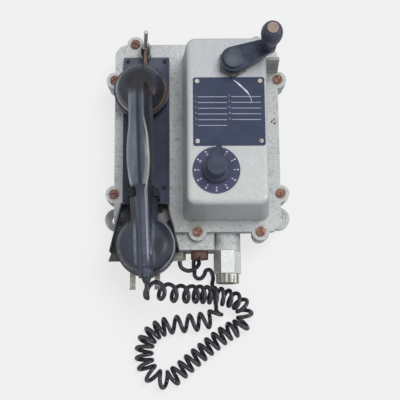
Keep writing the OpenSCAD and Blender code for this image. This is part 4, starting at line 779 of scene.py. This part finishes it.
# Turned and gathered shapes
def turned(profile, segments=72):
    """A closed shape turned about Z from radii and heights in millimetres."""
    mesh = bmesh.new()
    verts = [mesh.verts.new((radius * MM, 0, z * MM)) for radius, z in profile]
    edges = [mesh.edges.new(pair) for pair in zip(verts, verts[1:])]
    if profile[0][0] > 0 and profile[-1][0] > 0:
        edges.append(mesh.edges.new((verts[-1], verts[0])))
    bmesh.ops.spin(
        mesh,
        geom=verts + edges,
        cent=(0, 0, 0),
        axis=(0, 0, 1),
        angle=math.tau,
        steps=segments,
        use_merge=True,
    )
    bmesh.ops.remove_doubles(mesh, verts=mesh.verts, dist=0.000001)
    bmesh.ops.recalc_face_normals(mesh, faces=mesh.faces)
    return mesh


def arc(middle_r, middle_z, wide, tall, start, end, steps=10):
    """Points of a quarter or half oval, for a profile."""
    points = []
    for i in range(steps + 1):
        angle = math.radians(start + (end - start) * i / steps)
        points.append((middle_r + wide * math.cos(angle), middle_z + tall * math.sin(angle)))
    return points


def gather(*meshes):
    """One bmesh of several."""
    whole = bmesh.new()
    for mesh in meshes:
        data = bpy.data.meshes.new("part")
        mesh.to_mesh(data)
        mesh.free()
        whole.from_mesh(data)
        bpy.data.meshes.remove(data)
    return whole


def moved(mesh, place):
    bmesh.ops.transform(mesh, matrix=place, verts=mesh.verts)
    return mesh


def turn_about(axis, degrees):
    return Matrix.Rotation(math.radians(degrees), 4, axis)


# The handset
ALONG = (EAR - MOUTH).normalized()
HANDSET_LEAN = Matrix.Rotation(math.atan2(-ALONG.x, ALONG.y), 4, "Z")
SHELL_Z = span("ear_ring")[1].z / MM
# Radius, height and flat top of the two shells, and radius, length and height of the cord's socket
EAR_SHELL, MOUTH_SHELL = (25.5, 22, 10), (29, 22, 12)
SOCKET_R, SOCKET_LONG, SOCKET_UP = 7.8, 28, 8
SKIN_VOXEL = 0.7
# Corners of a cross section, in shares of its width and height
HANDLE_FACETS = (
    (-0.3, 0), (0.3, 0), (0.49, 0.16), (0.5, 0.4), (0.29, 0.92),
    (0.22, 1), (-0.15, 1), (-0.21, 0.95), (-0.5, 0.58), (-0.49, 0.16),
)
NECK_FACETS = (
    (-1.1, 0.1), (1.1, 0.1), (0.85, 0.35), (0.62, 0.58), (0.5, 0.82),
    (0.36, 1), (-0.34, 1), (-0.5, 0.82), (-0.62, 0.58), (-0.85, 0.35),
)
# Distance from the mouthpiece's middle, width, underside and top, in millimetres above the shell's foot
NECK_ROWS = (
    (-28, 13, 2, 11), (-24, 14.5, 4, 18.4), (-12, 15, 8, 23.4), (0, 14.6, 11, 25), (14, 14, 11, 26),
    (26, 13, 11, 27.2), (34, 13, 12, 28.6), (44, 13.6, 12, 31), (57.5, 14.4, 12, 34),
)
HANDLE_ROWS = (
    (56.5, 24.5, 12, 34.4), (62, 25.8, 12.6, 35.6), (68, 25.9, 12.8, 36.2), (75, 26, 13, 36.8),
    (82, 26, 13, 36.9), (88, 26, 13, 37), (94, 26, 13, 37), (100, 26, 13, 37), (108, 26, 13, 37),
    (116, 25.9, 13, 37), (125, 25.8, 13, 37), (133, 25.4, 13, 36.8), (141, 25, 13, 36.6),
    (152, 25.5, 12, 33), (162, 26, 12, 29), (170, 24, 12, 26.6), (177, 17, 12, 24.4), (182, 9, 11, 20),
)
# The handle's corners at its ridge and its left side
HANDLE_RIDGE, HANDLE_LEFT = (4, 5), (8, 9)


def faceted(rows, section, ridge=(), left=()):
    """A bar between rows, with the flat facets of a section.

    The corners in ridge and left move aside where the handle swells.
    """
    mesh = bmesh.new()
    rings = []
    for y, width, low, high in rows:
        aside = [0] * len(section)
        for i in ridge:
            aside[i] = max(RIDGE_OUT - swell_loss(y), RIDGE_IN)
        for i in left:
            aside[i] = -max(LEFT_OUT - swell_loss(y), 0)
        corners = zip(section, aside)
        spots = [(x * width + more, y, SHELL_Z + low + z * (high - low)) for (x, z), more in corners]
        rings.append(ring_of(mesh, spots))
    skin_rings(mesh, rings)
    return mesh


def shell(radius, height, flat):
    """Rounded shell over a capsule, standing on Z 0."""
    curve = arc(flat, 4, radius - flat, height - 4, 0, 90, 14)
    return turned([(0, 0), (radius, 0), *curve, (0, height)])


def in_handset(mesh):
    """From the mouthpiece's middle and the handset's long axis to the model's frame."""
    return moved(mesh, Matrix.Translation((MOUTH.x, MOUTH.y, 0)) @ HANDSET_LEAN)


def make_handset():
    reach = (EAR - MOUTH).xy.length
    foot = Matrix.Translation((0, 0, SHELL_Z * MM))
    ear = moved(shell(*EAR_SHELL), Matrix.Translation((0, reach, 0)) @ foot)
    mouth = moved(shell(*MOUTH_SHELL), foot)
    socket = turned([(0, 0), (SOCKET_R, 0), (SOCKET_R, SOCKET_LONG), (0, SOCKET_LONG)], 40)
    moved(socket, Matrix.Translation((0, 0, (SHELL_Z + SOCKET_UP) * MM)) @ turn_about("X", 90))
    neck = faceted(NECK_ROWS, NECK_FACETS)
    handle = faceted(HANDLE_ROWS, HANDLE_FACETS, HANDLE_RIDGE, HANDLE_LEFT)
    mesh = in_handset(gather(ear, mouth, socket, neck, handle))
    piece = piece_from("handset_shell", mesh, "handset", "handset_black", "handset_body")
    blend = piece.modifiers.new("one skin", "REMESH")
    blend.mode, blend.voxel_size, blend.use_smooth_shade = "VOXEL", SKIN_VOXEL * MM, True
    soften = piece.modifiers.new("soften", "SMOOTH")
    soften.factor, soften.iterations = 0.5, 5


make_handset()


# The knob, the grip and the marks
DIAL = middle("dial_disc")
DIAL_TOP = span("dial_disc")[1].z
KNOB_LOW, KNOB_TOP = (corner.z / MM for corner in span("selector_knob"))
KNOB_TURN = 7


def make_knob():
    """Round knob on a skirt, with a wedge that points to a station."""
    body_r, skirt_r, skirt_h = 10.1, 14, 5.5
    tall = KNOB_TOP - KNOB_LOW
    profile = [(0, 0), (skirt_r - 0.4, 0), *arc(skirt_r - 0.8, skirt_h - 0.8, 0.8, 0.8, 0, 90, 4)]
    profile += [(body_r + 1.6, skirt_h), *arc(body_r + 1.2, skirt_h + 1.6, -1.6, -1.6, 90, 0, 5)]
    profile += [*arc(body_r - 1.2, tall - 1.2, 1, 1.2, 0, 90, 6), (0, tall)]
    body = turned(profile)
    wedge = bmesh.new()
    low, high, reach, tip = 0.3, tall - 1.0, 24, 2.7
    side = ((0, low), (reach, low), (reach, 4.6), (body_r + 1, high - 3), (0, high))
    for half in (-1, 1):
        for y, z in side:
            wide = body_r - (body_r - tip) * y / reach
            wedge.verts.new((half * wide * MM, y * MM, z * MM))
    wedge.verts.ensure_lookup_table()
    left, right = list(wedge.verts)[: len(side)], list(wedge.verts)[len(side) :]
    wedge.faces.new(left)
    wedge.faces.new(list(reversed(right)))
    for i in range(len(side)):
        j = (i + 1) % len(side)
        wedge.faces.new((left[j], left[i], right[i], right[j]))
    bmesh.ops.recalc_face_normals(wedge, faces=wedge.faces)
    break_edges(wedge, list(wedge.edges), 0.7, 3)
    place = Matrix.Translation((DIAL.x, DIAL.y, KNOB_LOW * MM)) @ turn_about("Z", -KNOB_TURN)
    mesh = moved(gather(body, wedge), place)
    smooth(piece_from("pointer_knob", mesh, "selector", "knob_plastic", "selector_knob"), 40)


def make_grip():
    """Turned handle with a collar, a waist and a full belly, round its pin."""
    axis = middle("grip_pin")
    low, high = (corner.z / MM for corner in span("grip"))
    long = high - low
    bore, waist, swell, top = 3.3, 6.1, 4.8, 5.9
    profile = [(bore, 0), (7.2, 0), (7.6, 0.5), (7.6, 1.6), (6.6, 2.6), (waist, 3.6)]
    belly = long - 14
    for turn in range(10, 90, 8):
        radius = waist + swell * math.sin(math.radians(turn)) ** 1.3
        profile.append((radius, 4 + (belly - 4) * turn / 90))
    profile += [*arc(top, belly, 5, long - belly - 0.2, 0, 88, 12), (top, long), (bore, long)]
    mesh = moved(turned(profile), Matrix.Translation((axis.x, axis.y, low * MM)))
    smooth(piece_from("turned_grip", mesh, body_of("grip"), SLOT_OF["grip"], "grip"), 50)


def lettering(marks, lift):
    """Flat figures from rows of text, size, x, y and turn, one mesh each."""
    parts = []
    for text, size, x, y, turn in marks:
        curve = bpy.data.curves.new("figure", "FONT")
        curve.body, curve.size = text, size * MM
        curve.align_x, curve.align_y = "CENTER", "CENTER"
        curve.offset = 0.06 * MM
        figure = bpy.data.objects.new("figure", curve)
        data = bpy.data.meshes.new_from_object(figure)
        bpy.data.objects.remove(figure)
        part = bmesh.new()
        part.from_mesh(data)
        bpy.data.meshes.remove(data)
        parts.append(moved(part, Matrix.Translation((x * MM, y * MM, lift)) @ turn_about("Z", turn)))
    return parts


def disc(x, y, radius, lift):
    """A flat dot."""
    mesh = bmesh.new()
    bmesh.ops.create_circle(mesh, cap_ends=True, radius=radius * MM, segments=14)
    return moved(mesh, Matrix.Translation((x * MM, y * MM, lift)))


def stroke(spots, widths, lift):
    """A flat line through spots in millimetres, with a width at each."""
    mesh = bmesh.new()
    rims = []
    for i, (spot, width) in enumerate(zip(spots, widths)):
        ahead = Vector(spots[min(i + 1, len(spots) - 1)]) - Vector(spots[max(i - 1, 0)])
        side = Vector((-ahead.y, ahead.x)).normalized() * width / 2
        ends = [(spot[0] + s * side.x, spot[1] + s * side.y) for s in (1, -1)]
        rims.append([mesh.verts.new((x * MM, y * MM, lift)) for x, y in ends])
    for (a, b), (c, d) in zip(rims, rims[1:]):
        mesh.faces.new((a, b, d, c))
    bmesh.ops.recalc_face_normals(mesh, faces=mesh.faces)
    return mesh


# Marks lie this far over their ground. The dial has dots and figures on two circles, one step apart
MARK_LIFT = 0.06
DOTS_R, FIGURES_R, STATIONS, STATION_STEP = 21.6, 18.6, 11, 30
# The plate's two columns: first number, left end, right end and count, and the rows' top and spacing
COLUMNS = ((1, 0.8, 30.7, 6), (7, 35.3, 65.6, 5))
RULES_TOP, RULES_APART, RULE_WIDTH = 24.3, 6.12, 0.75
SCRATCH = (
    (37.3, 42.4), (41, 39.8), (44.4, 36.6), (47.4, 33.7), (51.4, 29.6), (54, 25.8), (56.2, 20.2), (55, 16.8),
)
SCRATCH_WIDTHS = (0.3, 1.1, 1.8, 1.2, 1.9, 0.5, 0.45, 0.2)


def make_marks():
    lift = DIAL_TOP + MARK_LIFT * MM
    x, y = DIAL.x / MM, DIAL.y / MM
    dots, figures = [], []
    for number in range(1, STATIONS + 1):
        angle = math.radians(90 - STATION_STEP * number)
        dots.append(disc(x + DOTS_R * math.cos(angle), y + DOTS_R * math.sin(angle), 0.85, lift))
        place = (x + FIGURES_R * math.cos(angle), y + FIGURES_R * math.sin(angle))
        figures.append((str(number), 2.9, *place, 90 + math.degrees(angle)))
    mesh = gather(*dots, *lettering(figures, lift))
    piece_from("dial_figures", mesh, "case", "mark_white")
    top = span("name_plate")[1].z + MARK_LIFT * MM
    rules, numbers = [], []
    for first, x_low, x_high, count in COLUMNS:
        for i in range(count):
            y = RULES_TOP - RULES_APART * i
            rules.append(stroke([(x_low, y), (x_high, y - 0.15)], [RULE_WIDTH, RULE_WIDTH], top))
            numbers.append((str(first + i), 2.5, x_low - 2.1, y + 0.9, 0))
    piece_from("plate_rules", gather(*rules, *lettering(numbers, top)), "case", "mark_grey")
    scratch = stroke(SCRATCH, SCRATCH_WIDTHS, top + 0.02 * MM)
    piece_from("plate_scratch", scratch, "case", "mark_white")


def make_crank_boss():
    """Worn dome that closes the hub over the end of the shaft."""
    axis, top = middle("crank_shaft"), span("crank_arm")[1].z / MM
    profile = [(0, -1), (10.6, -1), (10.6, -0.2), (10.2, 0.1), (8.8, 0.6), (6.6, 1.15), (3.6, 1.5), (0, 1.6)]
    mesh = moved(turned(profile, 48), Matrix.Translation((axis.x, axis.y, top * MM)))
    smooth(piece_from("crank_boss", mesh, body_of("crank_arm"), "crank_worn"), 50)


make_knob()
make_grip()
make_crank_boss()
make_marks()


# The latch. Its cheeks run between two distances up the wall and bow out over the lower part
CHEEK_FIRST, CHEEK_LAST, CHEEK_STEPS = 84.2, 103.5, 16
CHEEK_IN, CHEEK_BOW, CHEEK_BOW_LONG, CHEEK_THICK = 2.75, 2.1, 15, 1.2
CHEEK_CREST = 93
LATCH_BASE = 1.5
# The rod's radius and length, and how far its end leans aside and down; the foot's width
ROD_R, ROD_LONG, ROD_LEAN = 2.1, 53, (3.2, -2.8)
FOOT_WIDE = 4


def make_latch_cheeks():
    """Two bowed cheeks on a base, with the latch's pin between them."""
    low, high = span("latch_bracket")
    x, foot = (low.x + high.x) / 2 / MM, low.z / MM
    top = high.z / MM
    base = bmesh.new()
    bmesh.ops.create_cube(base, size=1)
    wide, deep = (high.x - low.x) / MM, (high.y - low.y) / MM
    place = Matrix.Translation((x * MM, (low.y + high.y) / 2, (foot + LATCH_BASE / 2) * MM))
    moved(base, place @ Matrix.Diagonal((wide * MM, deep * MM, LATCH_BASE * MM, 1)))
    parts = [base]
    for side in (-1, 1):
        strip = bmesh.new()
        rings = []
        for i in range(CHEEK_STEPS + 1):
            y = CHEEK_FIRST + (CHEEK_LAST - CHEEK_FIRST) * i / CHEEK_STEPS
            bow = math.sin(math.pi * min((y - CHEEK_FIRST) / CHEEK_BOW_LONG, 1))
            near = CHEEK_IN + CHEEK_BOW * bow
            far = near + CHEEK_THICK
            rise = top - 3.5 * abs((y - CHEEK_CREST) / 10) ** 2.5
            section = ((near, foot), (far, foot), (far, rise), (near, rise))
            rings.append(ring_of(strip, [(side * out + x, y, z) for out, z in section]))
        skin_rings(strip, rings)
        break_edges(strip, [e for e in strip.edges if e.calc_face_angle(0) > 0.6], 0.3, 2)
        parts.append(strip)
    smooth(piece_from("latch_cheeks", gather(*parts), "case", "plated_steel", "latch_bracket"), 50)


def make_latch_rod():
    """Round rod on a flat foot that holds the earpiece, turning on the latch's pin."""
    low, _ = span("latch_arm")
    pin = middle("latch_pin")
    end = arc(ROD_R - 0.6, ROD_LONG, 0.6, 0.6, 0, 90, 3)
    rod = turned([(0, 0), (ROD_R, 0), (ROD_R, ROD_LONG), *end, (0, ROD_LONG + 0.6)], 20)
    axis = Vector([part * MM for part in (*ROD_LEAN, ROD_LONG)])
    up = axis.to_track_quat("Z", "Y").to_matrix().to_4x4()
    moved(rod, Matrix.Translation(pin) @ up)
    eye = turned([(1.55, -1.9), (4.9, -1.9), (5.2, -1.5), (5.2, 1.5), (4.9, 1.9), (1.55, 1.9)], 32)
    moved(eye, Matrix.Translation(pin) @ turn_about("Y", 90))
    foot = bmesh.new()
    bmesh.ops.create_cube(foot, size=1)
    long = pin.y - low.y - 2.6 * MM
    place = Matrix.Translation((pin.x, low.y + long / 2, pin.z))
    moved(foot, place @ Matrix.Diagonal((FOOT_WIDE * MM, long, FOOT_WIDE * MM, 1)))
    break_edges(foot, list(foot.edges), 0.7, 2)
    mesh = gather(rod, eye, foot)
    smooth(piece_from("latch_rod", mesh, body_of("latch_arm"), "latch_metal", "latch_arm"), 50)


make_latch_cheeks()
make_latch_rod()


# Refined solids, and how far their edges are broken, in millimetres
for node, width in (
    ("base_casting", 1.2),
    ("front_cover", 0.9),
    ("cover_screws", 0.5),
    ("back_panel", 0.6),
    ("panel_screws", 0.25),
    ("cradle_cup", 0.35),
    ("lower_rest", 0.3),
    ("latch_pin", 0.2),
    ("name_plate", 0.2),
    ("plate_screws", 0.25),
    ("dial_disc", 0.3),
    ("crank_bush", 0.6),
    ("crank_arm", 1.0),
    ("crank_screw", 0.2),
    ("grip_pin", 0.35),
    ("gland_body", 0.6),
    ("gland_nut", 0.4),
    ("blanking_plug", 0.8),
    ("cord_gland", 0.5),
    ("ear_cap", 0.6),
    ("ear_ring", 0.35),
    ("mouth_cap", 0.6),
    ("mouth_ring", 0.3),
    ("handset_gland", 0.4),
    ("cord_boot", 0.3),
):
    refine(node, width)


# Floor and light. The floor glows a little to the camera alone, so it looks pale and keeps its shadows
FLOOR_HALF, FLOOR_Z = 4, -0.0004
FLOOR_TONE, GLOW_TONE, GLOW_SHARE = 212, 248, 0.78
SKY, SKY_DIFFUSE, SKY_SEEN = (0.92, 0.96, 1.0, 1), 0.23, 0.95
# Name, place, size, power, and whether it shows in reflections alone
LAMPS = (
    ("key", (0.85, 0.7, 3.4), 1.5, 95, False),
    ("fill", (-1.1, -1.0, 3.0), 1.6, 14, False),
    ("glint", (1.25, -0.22, 0.62), 0.36, 6, True),
)
LAMPS_AIM = (0, -0.05, 0.05)


def make_floor():
    mesh = bmesh.new()
    bmesh.ops.create_grid(mesh, x_segments=1, y_segments=1, size=FLOOR_HALF)
    data = bpy.data.meshes.new("floor")
    mesh.to_mesh(data)
    mesh.free()
    floor = bpy.data.objects.new("floor", data)
    floor.location.z = FLOOR_Z
    bpy.context.scene.collection.objects.link(floor)
    pale = Finish("pale_floor", 0.9, Base_Color=tone(*[FLOOR_TONE] * 3), Specular_IOR_Level=0.0)
    seen = pale.node("ShaderNodeLightPath", {}, [], "Is Camera Ray")
    glow = pale.node("ShaderNodeEmission", {}, [tone(*[GLOW_TONE] * 3), 1.0])
    values = [seen * GLOW_SHARE, Wire(pale, pale.shader.outputs[0]), glow]
    both = pale.node("ShaderNodeMixShader", {}, values)
    pale.links.new(both.socket, pale.nodes["Material Output"].inputs["Surface"])
    data.materials.append(pale.material)


def make_light():
    """Plain studio light: a pale surrounding, brighter where it is seen or reflected, and the lamps."""
    world = bpy.data.worlds.new("studio")
    world.use_nodes = True
    bpy.context.scene.world = world
    tree = world.node_tree
    sky = tree.nodes["Background"]
    sky.inputs["Color"].default_value = SKY
    path = tree.nodes.new("ShaderNodeLightPath")
    bright = tree.nodes.new("ShaderNodeMath")
    bright.operation = "MAXIMUM"
    tree.links.new(path.outputs["Is Camera Ray"], bright.inputs[0])
    tree.links.new(path.outputs["Is Glossy Ray"], bright.inputs[1])
    level = tree.nodes.new("ShaderNodeMapRange")
    level.inputs["To Min"].default_value = SKY_DIFFUSE
    level.inputs["To Max"].default_value = SKY_SEEN
    tree.links.new(bright.outputs[0], level.inputs["Value"])
    tree.links.new(level.outputs[0], sky.inputs["Strength"])
    for name, place, size, power, mirrored in LAMPS:
        lamp = bpy.data.lights.new(name, "AREA")
        lamp.shape, lamp.size, lamp.energy = "SQUARE", size, power
        lit = bpy.data.objects.new(name, lamp)
        bpy.context.scene.collection.objects.link(lit)
        lit.location, lit.visible_glossy, lit.visible_diffuse = place, mirrored, not mirrored
        aim = Vector(LAMPS_AIM) - Vector(place)
        lit.rotation_euler = aim.to_track_quat("-Z", "Y").to_euler()


make_floor()
make_light()
bpy.context.scene.view_settings.view_transform = "Standard"
